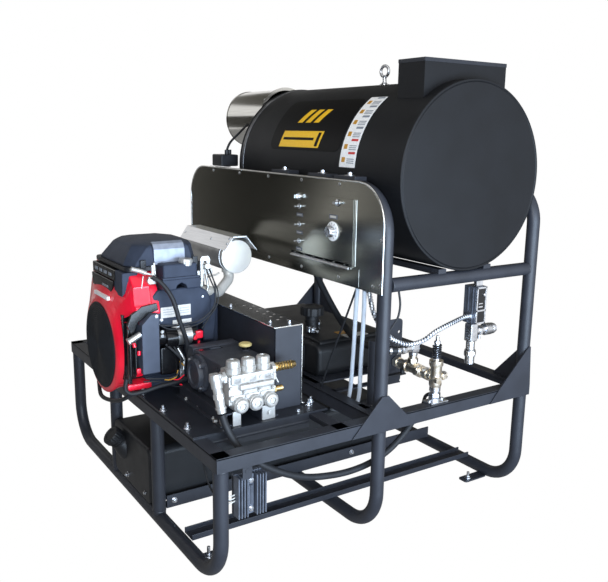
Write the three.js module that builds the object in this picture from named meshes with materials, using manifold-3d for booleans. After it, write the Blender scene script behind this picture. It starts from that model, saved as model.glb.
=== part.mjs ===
// Skid-mounted hot-water pressure washer: tube frame, V-twin engine, belt-driven triplex pump,
// oil-fired coil heater, control panel, two tanks and the high-pressure plumbing.
// Millimetres, +Z up. All places are given from the frame's front left foot corner: +X runs along
// the front of the deck, +Y runs back, Z = 0 is the floor. The whole group is then moved so that
// the origin is under the middle of the machine's bounding box.
import * as THREE from 'three';
import { mergeVertices } from 'three/addons/utils/BufferGeometryUtils.js';
import Module from 'manifold-3d';

const wasm = await Module();
wasm.setup();

// ---------- driving dimensions ----------
const GAP = 0.3; // clearance between pieces that touch

const DECK = { length: 1075, width: 1155, top: 358, rail: 38 };
const TUBE_R = 19.05;
const TUBE_SIDES = 12;
const TUBE_FLAT = TUBE_R * Math.cos(Math.PI / TUBE_SIDES); // the feet stand on a facet of the tube
const LOOP_BEND = 115;
const HOOP_BEND = 112;
const HOOP_TOP = 980;
const LEFT_X = TUBE_R;
const MID_X = 497;
const RIGHT_X = 1056;
const FRONT_Y = TUBE_R;
const REAR_Y = DECK.width - TUBE_R;
const CROSS_Z = 716;
const GUSSET_T = 4;

const PLATE = { x0: 0.5, x1: 403, y0: 129, y1: 900, thick: 6, flange: 35 };
const PLATE_TOP = DECK.top + GAP + PLATE.thick;

const CRANK = { y: 630, z: 487, r: 17 };
const SHROUD = { front: -60, step: -45, side: 8, back: 50, wall: 6, coneR: 150, lipR: 130, holeR: 122 };
const FAN_R = 108;
const CONTROL_BOX = { x0: -12, x1: 42, y0: 418, y1: 505, z0: 440, z1: 600 };
const BLOCK = { x0: 10, x1: 262, y0: 505, y1: 755, top: 600, cylX0: 52, cylX1: 160 };
const MUFFLER = { x: 330, z: 733, r: 50, y0: 515, y1: 815 };

const PUMP = { x0: 118, x1: 258, y0: 178, y1: 420, z0: 400, z1: 510, shaftY: 330, shaftZ: 455, shaftR: 12 };
const PULLEY = { x0: 278, x1: 334, engineR: 48, pumpR: 78, beltT: 8, beltGap: 0.6 };
const GUARD = { x0: 268, x1: 352, y0: 188, y1: 822, top: 593, wall: 3 };

const DRUM_SIDES = 48;
const DRUM = { x: 776.5, z: 992, r: 256, wall: 4, y0: 6, y1: 850 };
const FLUE = { x: 768, halfX: 149, y0: 40, y1: 144, top: 1295, wall: 3 };
const EYE = { y: 395, ringR: 16, wireR: 4.5, top: 1309, twist: 0.15 };
const BURNER = { x: 708, z: 1149, r: 100, y1: 1120, holeR: 58 };
const COIL = { r: 205, tube: 13, y0: 190, y1: 790, turns: 6 };

const PANEL = { x0: 474.4, x1: 477.4, y0: 2, y1: 1148, z0: 696, z1: 980, corner: 110 };
const DOOR = { x0: 471.1, y0: 127, y1: 458, z0: 748.5, z1: 931, hingeZ: 744, hingeX: 469.5, hingeR: 3.5 };
const SWITCH_Y = 391;
const SWITCH_Z = { upper: 891, middle: 838, lower: 789 };
const KEY_Z = 920;
const DIAL = { y: 219, z: 837, r: 26 };
const LATCH = { y: 198, z: 917 };

const LOWER_TANK = { x0: 2, x1: 858, y0: 430, y1: 724, z0: 43, z1: 215, round: 22 };
const REAR_TANK = { x0: 530, x1: 815, y0: 362, y1: 880, z1: 462, round: 24 };
const FILLER = { x: 600, y: 505, neckR: 22, capR: 39, neckTop: 524, capTop: 552 };
const SLANT_CAP = { x: -3, y: 648, z: 162, neckR: 24, capR: 30, neckLen: 26, capLen: 22 };

const VALVE = { x: 705, y: 30, z: 430 };
const BOX = { x0: 839, x1: 880, y0: 19, y1: 70, z0: 567, z1: 678 };
const REGULATOR = { x0: 60, x1: 138, y0: 5, y1: 42, z0: 180, z1: 287 };

const CENTRE_X = (SHROUD.front + RIGHT_X + TUBE_R) / 2;
const CENTRE_Y = DECK.width / 2;

// ---------- finishes ----------
const finish = (color, roughness, metalness) => new THREE.MeshStandardMaterial({ color, roughness, metalness });
const POWDER = finish(0x2b2d31, 0.55, 0.3);
const BLACK = finish(0x17181b, 0.6, 0.1);
const POLY = finish(0x121214, 0.5, 0);
const RUBBER = finish(0x151518, 0.8, 0);
const STEEL = finish(0x9a9890, 0.25, 1);
const BRIGHT = finish(0xc9ccd0, 0.3, 1);
const CAST = finish(0xb9bcc0, 0.45, 0.9);
const GREY = finish(0x6d7076, 0.5, 0.6);
const BRASS = finish(0xb08a45, 0.35, 1);
const RED = finish(0xc4122a, 0.35, 0);
const YELLOW = finish(0xe0c25a, 0.5, 0);
const CLEAR = finish(0xc6d2dc, 0.25, 0);

// ---------- shape helpers ----------
const machine = new THREE.Group();
machine.position.set(-CENTRE_X, -CENTRE_Y, 0);

function add(name, geometry, material) {
  const mesh = new THREE.Mesh(geometry, material);
  mesh.name = name;
  machine.add(mesh);
  return mesh;
}

function solid(geometry) {
  const bare = geometry.clone();
  bare.deleteAttribute('normal');
  bare.deleteAttribute('uv');
  const merged = mergeVertices(bare, 1e-4);
  const mesh = new wasm.Mesh({
    numProp: 3,
    vertProperties: new Float32Array(merged.attributes.position.array),
    triVerts: new Uint32Array(merged.index.array),
  });
  return new wasm.Manifold(mesh);
}

function geometryOf(manifold) {
  const mesh = manifold.getMesh();
  const geometry = new THREE.BufferGeometry();
  geometry.setAttribute('position', new THREE.BufferAttribute(new Float32Array(mesh.vertProperties), 3));
  geometry.setIndex(new THREE.BufferAttribute(new Uint32Array(mesh.triVerts), 1));
  return geometry;
}

function join(...pieces) {
  return geometryOf(pieces.map(solid).reduce((sum, piece) => sum.add(piece)));
}

function cut(base, ...tools) {
  return geometryOf(tools.map(solid).reduce((rest, tool) => rest.subtract(tool), solid(base)));
}

function block(x0, x1, y0, y1, z0, z1) {
  const box = new THREE.BoxGeometry(x1 - x0, y1 - y0, z1 - z0);
  return box.translate((x0 + x1) / 2, (y0 + y1) / 2, (z0 + z1) / 2);
}

// A cylinder or cone frustum from point a to point b.
function rod(a, b, radius, sides = 16, endRadius = radius) {
  const from = new THREE.Vector3(...a);
  const to = new THREE.Vector3(...b);
  const along = to.clone().sub(from);
  const geometry = new THREE.CylinderGeometry(endRadius, radius, along.length(), sides);
  const turn = new THREE.Quaternion().setFromUnitVectors(new THREE.Vector3(0, 1, 0), along.clone().normalize());
  return geometry.applyQuaternion(turn).translate(...from.add(to).multiplyScalar(0.5).toArray());
}

// Profile of [radius, height] pairs turned about Z, then laid along +X or +Y, or left along +Z.
function turned(profile, axis, x, y, z, sides = 24) {
  const geometry = new THREE.LatheGeometry(profile.map(([r, h]) => new THREE.Vector2(r, h)), sides);
  const lay = { x: [0, 0, -Math.PI / 2], y: [0, 0, 0], z: [Math.PI / 2, 0, 0] }[axis];
  return geometry.applyQuaternion(new THREE.Quaternion().setFromEuler(new THREE.Euler(...lay))).translate(x, y, z);
}

// Outline of [y, z] pairs extruded along X, from x0 to x1.
function slabX(outline, x0, x1) {
  const shape = outline instanceof THREE.Shape ? outline : shapeOf(outline);
  const geometry = new THREE.ExtrudeGeometry(shape, { depth: x1 - x0, bevelEnabled: false, curveSegments: 6 });
  const turn = new THREE.Matrix4().set(0, 0, 1, x0, 1, 0, 0, 0, 0, 1, 0, 0, 0, 0, 0, 1);
  return geometry.applyMatrix4(turn);
}

// Outline of [x, z] pairs extruded along Y, from y0 to y1.
function slabY(outline, y0, y1) {
  const geometry = new THREE.ExtrudeGeometry(shapeOf(outline), { depth: y1 - y0, bevelEnabled: false });
  const turn = new THREE.Matrix4().set(1, 0, 0, 0, 0, 0, -1, y1, 0, 1, 0, 0, 0, 0, 0, 1);
  return geometry.applyMatrix4(turn);
}

function shapeOf(outline) {
  return new THREE.Shape(outline.map(([u, v]) => new THREE.Vector2(u, v)));
}

function roundedRect(u0, u1, v0, v1, r) {
  const shape = new THREE.Shape();
  shape.moveTo(u0 + r, v0);
  shape.lineTo(u1 - r, v0).absarc(u1 - r, v0 + r, r, -Math.PI / 2, 0, false);
  shape.lineTo(u1, v1 - r).absarc(u1 - r, v1 - r, r, 0, Math.PI / 2, false);
  shape.lineTo(u0 + r, v1).absarc(u0 + r, v1 - r, r, Math.PI / 2, Math.PI, false);
  shape.lineTo(u0, v0 + r).absarc(u0 + r, v0 + r, r, Math.PI, Math.PI * 1.5, false);
  return shape;
}

// A path that an extrusion follows knot by knot.
class KnotPath extends THREE.Curve {
  constructor(knots) {
    super();
    this.knots = knots;
  }

  getPoint(t, target = new THREE.Vector3()) {
    const at = t * (this.knots.length - 1);
    const index = Math.min(Math.floor(at + 1e-6), this.knots.length - 2);
    return target.lerpVectors(this.knots[index], this.knots[index + 1], at - index);
  }

  getPointAt(t, target) {
    return this.getPoint(t, target);
  }

  getTangentAt(t, target = new THREE.Vector3()) {
    const index = Math.round(t * (this.knots.length - 1));
    const before = this.knots[Math.max(index - 1, 0)];
    const after = this.knots[Math.min(index + 1, this.knots.length - 1)];
    return target.subVectors(after, before).normalize();
  }
}

function sweep(knots, radius, sides) {
  const section = [];
  for (let i = 0; i < sides; i += 1) {
    const angle = (2 * Math.PI * (i + 0.5)) / sides;
    section.push([radius * Math.cos(angle), radius * Math.sin(angle)]);
  }
  const path = new KnotPath(knots);
  return new THREE.ExtrudeGeometry(shapeOf(section), { steps: knots.length - 1, extrudePath: path });
}

// Straight runs between corners, with each inner corner rounded by an arc.
function bentKnots(corners, bend, steps = 4) {
  const points = corners.map((corner) => new THREE.Vector3(...corner));
  const knots = [points[0]];
  for (let i = 1; i < points.length - 1; i += 1) {
    const back = points[i - 1].clone().sub(points[i]).normalize();
    const ahead = points[i + 1].clone().sub(points[i]).normalize();
    const half = back.angleTo(ahead) / 2;
    const reach = bend / Math.tan(half);
    const middle = back.clone().add(ahead).normalize();
    const centre = points[i].clone().addScaledVector(middle, bend / Math.sin(half));
    const first = points[i].clone().addScaledVector(back, reach).sub(centre);
    const last = points[i].clone().addScaledVector(ahead, reach).sub(centre);
    const turn = first.angleTo(last);
    const pivot = first.clone().cross(last).normalize();
    for (let k = 0; k <= steps; k += 1) {
      knots.push(first.clone().applyAxisAngle(pivot, (turn * k) / steps).add(centre));
    }
  }
  knots.push(points[points.length - 1]);
  return knots;
}

function bentTube(corners, bend, radius = TUBE_R, sides = TUBE_SIDES, steps = 4) {
  return sweep(bentKnots(corners, bend, steps), radius, sides);
}

function hose(points, radius, steps, sides = 8) {
  const curve = new THREE.CatmullRomCurve3(points.map((point) => new THREE.Vector3(...point)), false, 'centripetal');
  return sweep(curve.getSpacedPoints(steps), radius, sides);
}

// ---------- frame ----------
function loopTube(x) {
  const top = DECK.top - DECK.rail - GAP;
  const corners = [[x, FRONT_Y, top], [x, FRONT_Y, TUBE_FLAT], [x, REAR_Y, TUBE_FLAT], [x, REAR_Y, top]];
  return bentTube(corners, LOOP_BEND);
}

function hoopTube(x) {
  const foot = DECK.top + GAP;
  const top = HOOP_TOP - TUBE_R;
  return bentTube([[x, FRONT_Y, foot], [x, FRONT_Y, top], [x, REAR_Y, top], [x, REAR_Y, foot]], HOOP_BEND);
}

function buildLoops() {
  const strutTop = DECK.top - DECK.rail - GAP;
  const struts = [408, 745].map((y) => rod([LEFT_X, y, TUBE_R], [LEFT_X, y, strutTop], TUBE_R, TUBE_SIDES));
  const leftTab = block(24, 84, 145, 190, 0, 5);
  const rightTab = block(956, 1050, 124, 160, 0, 5);
  add('left_loop', join(loopTube(LEFT_X), ...struts, leftTab), POWDER);
  add('middle_loop', loopTube(MID_X), POWDER);
  add('right_loop', join(loopTube(RIGHT_X), rightTab), POWDER);
}

function buildDeck() {
  const low = DECK.top - DECK.rail;
  const rails = [
    block(0, DECK.length, 0, DECK.rail, low, DECK.top),
    block(0, DECK.length, DECK.width - DECK.rail, DECK.width, low, DECK.top),
    block(0, DECK.rail, 1, DECK.width - 1, low, DECK.top),
    block(MID_X - DECK.rail / 2, MID_X + DECK.rail / 2, 1, DECK.width - 1, low, DECK.top),
    block(DECK.length - DECK.rail, DECK.length, 1, DECK.width - 1, low, DECK.top),
    block(345, 345 + DECK.rail, 1, DECK.width - 1, low, DECK.top),
  ];
  const platform = block(MID_X, 830, 330, 900, DECK.top - 5, DECK.top);
  const strut = block(510, 728, 238, 262, DECK.top - 5, DECK.top); // carries the valve bracket
  const stubFoot = block(MID_X, 560, 82, 122, DECK.top - 5, DECK.top);
  const stub = rod([538, 102, DECK.top - 4], [538, 102, 545], 17, 16);
  add('deck_frame', join(...rails, platform, strut, stubFoot, stub), POWDER);
}

// Front and rear gusset plates lie on the outer face of the deck rail and of the post above it.
function gusset(outline, front) {
  const y0 = front ? GAP : DECK.width - GAP - GUSSET_T;
  return slabY(outline, y0, y0 + GUSSET_T);
}

function buildHoops() {
  const foot = DECK.top + GAP;
  const midPlate = [[MID_X - 74, foot], [MID_X + 74, foot], [MID_X + 10, 419], [MID_X - 10, 419]];
  const rightPlate = [[934, foot], [RIGHT_X, foot], [RIGHT_X, 474]];
  const tabs = [186, 316, 520].map((y) => block(482, 518, y - 50, y + 50, HOOP_TOP - 3, HOOP_TOP + 10));
  const midPlates = [gusset(midPlate, true), gusset(midPlate, false)];
  const rightPlates = [gusset(rightPlate, true), gusset(rightPlate, false)];
  const frontSide = [[FRONT_Y, foot], [134, foot], [FRONT_Y, 480]];
  const rearSide = frontSide.map(([y, z]) => [DECK.width - y, z]).reverse();
  const sidePlates = [frontSide, rearSide].map((outline) => slabX(outline, RIGHT_X - 2, RIGHT_X + 2));
  add('middle_hoop', join(hoopTube(MID_X), ...midPlates, ...tabs), POWDER);
  add('right_hoop', join(hoopTube(RIGHT_X), ...rightPlates, ...sidePlates), POWDER);
}

function buildCradle() {
  const x0 = MID_X + TUBE_R + GAP;
  const x1 = RIGHT_X - TUBE_R - GAP;
  const cross = [FRONT_Y, REAR_Y].map((y) => rod([x0, y, CROSS_Z], [x1, y, CROSS_Z], TUBE_R, TUBE_SIDES));
  const bars = [-86, 86].map((offset) => {
    const x = DRUM.x + offset;
    return block(x - 14, x + 14, 10, REAR_Y + 8, CROSS_Z + 10, CROSS_Z + 30);
  });
  const drumRoom = rod([DRUM.x, -1, DRUM.z], [DRUM.x, 900, DRUM.z], DRUM.r + 1.5, DRUM_SIDES);
  const rimRoom = rod([DRUM.x, 834, DRUM.z], [DRUM.x, 852, DRUM.z], DRUM.r + 5.5, DRUM_SIDES);
  add('drum_cradle', cut(join(...cross, ...bars), drumRoom, rimRoom), POWDER);
}

function buildLowerRails() {
  const z0 = 2 * TUBE_R + GAP;
  const trough = cut(block(30, 1048, 208, 258, z0, z0 + 16), block(20, 1060, 212, 254, z0 + 4, z0 + 20));
  add('lower_rail', trough, POWDER);
  const angle = (y, side) => join(
    block(42, 1045, Math.min(y, y + 4 * side), Math.max(y, y + 4 * side), z0, z0 + 38),
    block(42, 1045, Math.min(y, y + 38 * side), Math.max(y, y + 38 * side), z0, z0 + 4),
  );
  add('tank_rail_front', angle(405, 1), POWDER);
  add('tank_rail_rear', angle(768, -1), POWDER);
}

// ---------- engine ----------
function buildEnginePlate() {
  const z0 = DECK.top + GAP;
  const sheet = block(PLATE.x0, PLATE.x1, PLATE.y0, PLATE.y1, z0, z0 + PLATE.thick);
  const lip = block(42, 342, PLATE.y0, PLATE.y0 + 5, z0 - PLATE.flange, z0 + 1);
  add('engine_plate', join(sheet, lip), BLACK);
}

function cylinderBank(side) {
  const barrel = new THREE.BoxGeometry(BLOCK.cylX1 - BLOCK.cylX0, 112, 200);
  barrel.translate((BLOCK.cylX0 + BLOCK.cylX1) / 2, 0, 150);
  return barrel.rotateX((side * Math.PI) / 4).translate(0, CRANK.y, CRANK.z);
}

function buildEngineBlock() {
  const base = block(BLOCK.x0, BLOCK.x1, BLOCK.y0, BLOCK.y1, PLATE_TOP + GAP, BLOCK.top);
  const covers = [[425, 500], [760, 835]].map(([y0, y1]) => block(BLOCK.cylX0, BLOCK.cylX1, y0, y1, 640, 716));
  const intake = block(60, 200, 560, 700, BLOCK.top - 5, 719);
  const box = CONTROL_BOX;
  const controls = block(box.x0, box.x1, box.y0, box.y1 + 5, box.z0, box.z1);
  const controlBridge = block(BLOCK.x0 + 1, box.x1 - 1, box.y1 - 5, BLOCK.y0 + 5, box.z0 + 5, box.z1 - 5);
  const starter = rod([66, 455, 530], [170, 455, 530], 32, 14);
  const starterFoot = block(80, 160, 450, 520, 505, 540);
  const whole = join(base, cylinderBank(1), cylinderBank(-1), ...covers, intake, controls, controlBridge,
    starter, starterFoot);
  const bore = rod([BLOCK.x0 - 5, CRANK.y, CRANK.z], [BLOCK.x1 + 5, CRANK.y, CRANK.z], CRANK.r + 2, 20);
  add('engine_block', cut(whole, bore), BLACK);
}

// Half of the blower housing's outline, as [distance from the centre plane, height].
const SHROUD_HALF = [[78, 372], [145, 388], [180, 428], [192, 500], [190, 620], [172, 680], [135, 717]];

function shroudOutline(inset) {
  const middleZ = 545;
  const half = SHROUD_HALF.map(([w, z]) => [w - inset, z + inset * Math.sign(middleZ - z)]);
  const near = half.map(([w, z]) => [CRANK.y - w, z]).reverse();
  const far = half.map(([w, z]) => [CRANK.y + w, z]);
  return [...far, ...near];
}

function buildShroud() {
  const s = SHROUD;
  const lower = slabX(shroudOutline(0), s.step, s.side);
  const upper = cut(slabX(shroudOutline(0), s.side - 1, s.back), block(-100, 100, 300, 900, 300, 606));
  const nose = turned([[0, 0], [s.lipR, 0], [s.coneR, s.step - s.front + 1], [0, s.step - s.front + 1]],
    'x', s.front, CRANK.y, CRANK.z, 32);
  const box = CONTROL_BOX;
  const room = slabX(shroudOutline(s.wall), s.step + s.wall, s.back + 5);
  const mouth = rod([s.front - 5, CRANK.y, CRANK.z], [s.step + 10, CRANK.y, CRANK.z], s.holeR, 32);
  const corner = block(box.x0 - 1, 100, 300, box.y1 + 6, 300, box.z1 + 6);
  add('fan_shroud', cut(join(lower, upper, nose), room, mouth, corner), RED);
}

function buildFan() {
  const x = SHROUD.front + 3;
  add('fan_grille', turned([[0, 0], [SHROUD.holeR - GAP, 3], [SHROUD.holeR - GAP, 8], [0, 5]],
    'x', x, CRANK.y, CRANK.z, 32), BLACK);
  const hub = CRANK.r + GAP;
  const wheel = [[hub, 0], [60, 0], [60, 12], [FAN_R, 14], [FAN_R, 20], [60, 40], [hub, 40], [hub, 0]];
  add('flywheel_fan', turned(wheel, 'x', -46, CRANK.y, CRANK.z, 24), GREY);
  const shaft = [[0, 0], [CRANK.r, 0], [CRANK.r, PULLEY.x0 + 46], [PULLEY.engineR, PULLEY.x0 + 46],
    [PULLEY.engineR, PULLEY.x1 + 46], [0, PULLEY.x1 + 46]];
  add('crankshaft', turned(shaft, 'x', -46, CRANK.y, CRANK.z, 24), STEEL);
}

function buildAirCleaner() {
  const lower = slabX(roundedRect(482, 752, 720, 760, 14), -28, 196);
  const crown = [[490, 758], [744, 758], [728, 788], [690, 800], [560, 802], [508, 788]];
  const dome = slabX(crown, -2, 190);
  const nose = slabY([[-28, 745], [0, 745], [0, 796], [-6, 790]], 504, 732);
  add('air_cleaner', join(lower, dome, nose), BLACK);
  const cap = [[0, 0], [13, 0], [13, 14], [19, 14], [19, 36], [0, 36]];
  add('oil_filler_cap', turned(cap, 'z', 134, 452, 716 + GAP, 16), BRIGHT);
}

function buildExhaust() {
  const can = rod([MUFFLER.x, MUFFLER.y0, MUFFLER.z], [MUFFLER.x, MUFFLER.y1, MUFFLER.z], MUFFLER.r, 24);
  const port = BLOCK.cylX1 + GAP;
  const route = [[322, 548, 715], [316, 544, 668], [262, 506, 634], [214, 480, 650], [port, 480, 650]];
  add('muffler', join(can, bentTube(route, 26, 15, 10, 3)), CAST);
  const outer = [[281, 757], [308, 795], [354, 795], [389, 754]];
  const inner = [[387, 753], [353, 793], [309, 793], [283, 756]];
  add('heat_shield', slabY([...outer, ...inner], 497, 822), BRIGHT);
}

// ---------- belt drive and guard ----------
function beltOutline(extra) {
  const centres = [[CRANK.y, CRANK.z, PULLEY.engineR], [PUMP.shaftY, PUMP.shaftZ, PULLEY.pumpR]];
  const [[y1, z1, r1], [y2, z2, r2]] = centres;
  const span = Math.hypot(y2 - y1, z2 - z1);
  const heading = Math.atan2(z2 - z1, y2 - y1);
  const lean = Math.acos((r1 - r2) / span);
  const points = [];
  const arc = (y, z, r, from, to, steps) => {
    for (let i = 0; i <= steps; i += 1) {
      const angle = from + ((to - from) * i) / steps;
      points.push([y + (r + extra) * Math.cos(angle), z + (r + extra) * Math.sin(angle)]);
    }
  };
  arc(y1, z1, r1, heading + lean, heading + 2 * Math.PI - lean, 12);
  arc(y2, z2, r2, heading - lean, heading + lean, 14);
  return points;
}

function buildDrive() {
  const inner = PULLEY.beltGap + 0.8;
  const loop = cut(slabX(beltOutline(inner + PULLEY.beltT), PULLEY.x0 + 8, PULLEY.x1 - 8),
    slabX(beltOutline(inner), PULLEY.x0, PULLEY.x1));
  add('drive_belt', loop, RUBBER);
  const g = GUARD;
  const floor = PLATE_TOP + GAP;
  const shell = cut(block(g.x0, g.x1, g.y0, g.y1, floor, g.top),
    block(g.x0 + g.wall, g.x1 + 5, g.y0 + g.wall, g.y1 - g.wall, floor - 5, g.top + 5),
    rod([g.x0 - 5, CRANK.y, CRANK.z], [g.x0 + 8, CRANK.y, CRANK.z], 24, 16),
    rod([g.x0 - 5, PUMP.shaftY, PUMP.shaftZ], [g.x0 + 8, PUMP.shaftY, PUMP.shaftZ], 22, 16));
  add('belt_guard', shell, BLACK);
  const lid = block(g.x0 - 2, g.x1 + 3, g.y0 - 2, g.y1 + 2, g.top + GAP, g.top + 3);
  const side = block(g.x1 + GAP, g.x1 + 3, g.y0 - 2, g.y1 + 2, floor + 4, g.top + 2);
  const foot = block(g.x1 + 1, g.x1 + 12, g.y0 - 2, g.y1 + 2, floor + 4, floor + 7);
  add('guard_cover', join(lid, side, foot), STEEL);
}

// ---------- pump ----------
function buildPumpBody() {
  const p = PUMP;
  const body = block(p.x0, p.x1, p.y0, p.y1, p.z0 + GAP, p.z1);
  const bore = rod([p.x0 - 5, p.shaftY, p.shaftZ], [p.x1 + 5, p.shaftY, p.shaftZ], p.shaftR + 2, 16);
  add('pump_crankcase', cut(body, bore), BLACK);
  const boss = [[0, -30], [44, -30], [50, -24], [50, -GAP], [0, -GAP]];
  add('pump_side_cover', turned(boss, 'x', p.x0, p.shaftY, p.shaftZ, 24), BLACK);
  const shaft = [[0, 0], [p.shaftR, 0], [p.shaftR, PULLEY.x0 - 130], [30, PULLEY.x0 - 130],
    [30, PULLEY.x0 - 122], [PULLEY.pumpR, PULLEY.x0 - 122], [PULLEY.pumpR, PULLEY.x1 - 130], [0, PULLEY.x1 - 130]];
  add('pump_pulley', turned(shaft, 'x', 130, p.shaftY, p.shaftZ, 32), STEEL);
  const cap = [[0, 0], [9, 0], [9, 8], [17, 8], [17, 20], [0, 20]];
  add('pump_oil_cap', turned(cap, 'z', 240, 300, p.z1 + GAP, 16), YELLOW);
}

function buildPumpHead() {
  const y0 = 112;
  const y1 = PUMP.y0 - GAP;
  const body = block(94, 226, y0, y1, 428, 516);
  const columns = [117, 160, 203];
  const topCaps = columns.map((x) => rod([x, 140, 510], [x, 140, 544], 18, 12));
  const frontCaps = columns.map((x) => rod([x + 6, y1 - 20, 432], [x + 6, y0 - 14, 432], 19, 12));
  const inlet = rod([220, 140, 505], [300, 140, 505], 12, 12);
  const bypass = rod([220, 140, 446], [268 - 6, 140, 446], 10, 12);
  add('pump_manifold', join(body, ...topCaps, ...frontCaps, inlet, bypass), CAST);
  const arm = rod([94 - GAP, 140, 500], [66, 140, 500], 13, 12);
  const drop = rod([66, 140, 514], [74, 118, 418], 14, 12);
  add('discharge_elbow', join(arm, drop), CAST);
}

function buildPumpRails() {
  const z0 = PLATE_TOP + GAP;
  const rail = (x0, x1) => cut(block(x0, x1, 147, 430, z0, PUMP.z0), block(x0 + 4, x1 - 4, 140, 440, z0 + 4, PUMP.z0 - 4));
  add('pump_rail_left', rail(100, 140), GREY);
  add('pump_rail_right', rail(203, 243), GREY);
}

// ---------- heater ----------
function buildDrum() {
  const d = DRUM;
  const inner = d.r - d.wall;
  const length = d.y1 - d.y0;
  const profile = [[0, length - 4], [inner, length - 4], [inner, 0], [d.r, 0], [d.r, length - 14],
    [d.r + 4, length - 14], [d.r + 4, length], [0, length]];
  const shell = turned(profile, 'y', d.x, d.y0, d.z, DRUM_SIDES);
  const throat = rod([BURNER.x, d.y1 - 20, BURNER.z], [BURNER.x, d.y1 + 20, BURNER.z], BURNER.holeR, 24);
  const vent = block(FLUE.x - FLUE.halfX + 20, FLUE.x + FLUE.halfX - 20, FLUE.y0 + 10, FLUE.y1 - 10, 1150, 1300);
  add('drum_shell', cut(shell, throat, vent), BLACK);
  add('drum_front_cover', turned([[0, 0], [d.r - 6, 0], [d.r, 1.5], [d.r, 5.2], [0, 5.2]], 'y', d.x, 0.5, d.z, DRUM_SIDES), BLACK);
}

function buildFlue() {
  const f = FLUE;
  const x0 = f.x - f.halfX;
  const x1 = f.x + f.halfX;
  const box = block(x0, x1, f.y0, f.y1, 1150, f.top);
  const inside = block(x0 + f.wall, x1 - f.wall, f.y0 + f.wall, f.y1 - f.wall, 1100, f.top + 5);
  const drumRoom = rod([DRUM.x, 0, DRUM.z], [DRUM.x, 300, DRUM.z], DRUM.r + 0.8, DRUM_SIDES);
  add('flue_box', cut(box, inside, drumRoom), BLACK);
}

function buildLiftingEye() {
  const ringZ = EYE.top - EYE.ringR - EYE.wireR;
  const ring = new THREE.TorusGeometry(EYE.ringR, EYE.wireR, 6, 16);
  ring.rotateY(Math.PI / 2).rotateZ(EYE.twist).translate(DRUM.x, EYE.y, ringZ);
  const drumTop = DRUM.z + DRUM.r + GAP + 0.3;
  const shank = rod([DRUM.x, EYE.y, drumTop], [DRUM.x, EYE.y, ringZ - EYE.ringR], 6, 12);
  const collar = rod([DRUM.x, EYE.y, drumTop], [DRUM.x, EYE.y, drumTop + 6], 12, 12);
  add('lifting_eye', join(ring, shank, collar), BRIGHT);
}

function buildCoil() {
  const knots = [];
  const perTurn = 10;
  for (let i = 0; i <= COIL.turns * perTurn; i += 1) {
    const angle = (2 * Math.PI * i) / perTurn;
    const y = COIL.y0 + ((COIL.y1 - COIL.y0) * i) / (COIL.turns * perTurn);
    knots.push(new THREE.Vector3(DRUM.x + COIL.r * Math.cos(angle), y, DRUM.z + COIL.r * Math.sin(angle)));
  }
  add('heating_coil', sweep(knots, COIL.tube, 6), GREY);
}

function buildBurner() {
  const b = BURNER;
  const y0 = DRUM.y1 + GAP;
  const length = b.y1 - y0;
  const profile = [[0, length - 60], [40, length - 60], [40, length - 3], [b.r - 3, length - 3], [b.r - 3, 0],
    [b.r, 0], [b.r, length], [0, length]];
  add('burner_housing', turned(profile, 'y', b.x, y0, b.z, 40), STEEL);
  const wheel = [[0, 0], [10, 0], [10, 20], [62, 20], [62, 58], [14, 58], [14, 70], [0, 70]];
  add('burner_fan', turned(wheel, 'y', b.x, b.y1 - 60 - 75, b.z, 20), GREY);
}

// ---------- control panel ----------
function buildPanel() {
  const p = PANEL;
  const shape = new THREE.Shape();
  shape.moveTo(p.y0, p.z0);
  shape.lineTo(p.y1, p.z0);
  shape.lineTo(p.y1, p.z1 - p.corner);
  shape.absarc(p.y1 - p.corner, p.z1 - p.corner, p.corner, 0, Math.PI / 2, false);
  shape.lineTo(p.y0 + p.corner, p.z1);
  shape.absarc(p.y0 + p.corner, p.z1 - p.corner, p.corner, Math.PI / 2, Math.PI, false);
  const cutout = block(p.x0 - 5, p.x1 + 5, DOOR.y0 + 8, DOOR.y1 - 8, DOOR.z0 + 6, DOOR.z1 - 8);
  add('control_panel', cut(slabX(shape, p.x0, p.x1), cutout), STEEL);
}

// Small round control standing out of the door towards -X.
function knob(name, y, z, profile, material, sides = 16) {
  const out = profile.map(([r, h]) => [r, -h]).reverse();
  add(name, turned(out, 'x', DOOR.x0 - GAP, y, z, sides), material);
}

function buildDoor() {
  const d = DOOR;
  const leaf = block(d.x0, d.x0 + 3, d.y0, d.y1, d.z0, d.z1);
  const barrel = rod([d.hingeX, 142, d.hingeZ], [d.hingeX, 433, d.hingeZ], d.hingeR, 12);
  const web = block(d.x0, d.x0 + 2, 142, 433, d.hingeZ, d.z0 + 1);
  add('control_door', join(leaf, barrel, web), STEEL);
  const toggle = [[0, 0], [3.5, 1.5], [5, 5], [3.5, 8.5], [2, 10], [3, 24], [0, 24]];
  for (const [place, z] of Object.entries(SWITCH_Z)) knob(`switch_${place}`, SWITCH_Y, z, toggle, BRIGHT, 12);
  knob('thermostat_dial', DIAL.y, DIAL.z, [[0, 0], [DIAL.r, 0], [DIAL.r, 6], [16, 8], [14, 20], [0, 20]], BRIGHT, 24);
  knob('key_switch', SWITCH_Y, KEY_Z, [[0, 0], [10, 0], [10, 7], [3, 9], [3, 24], [0, 24]], BRIGHT, 12);
  knob('door_latch', LATCH.y, LATCH.z, [[0, 0], [10, 0], [10, 5], [5, 7], [5, 14], [0, 14]], BRIGHT, 12);
}

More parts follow.
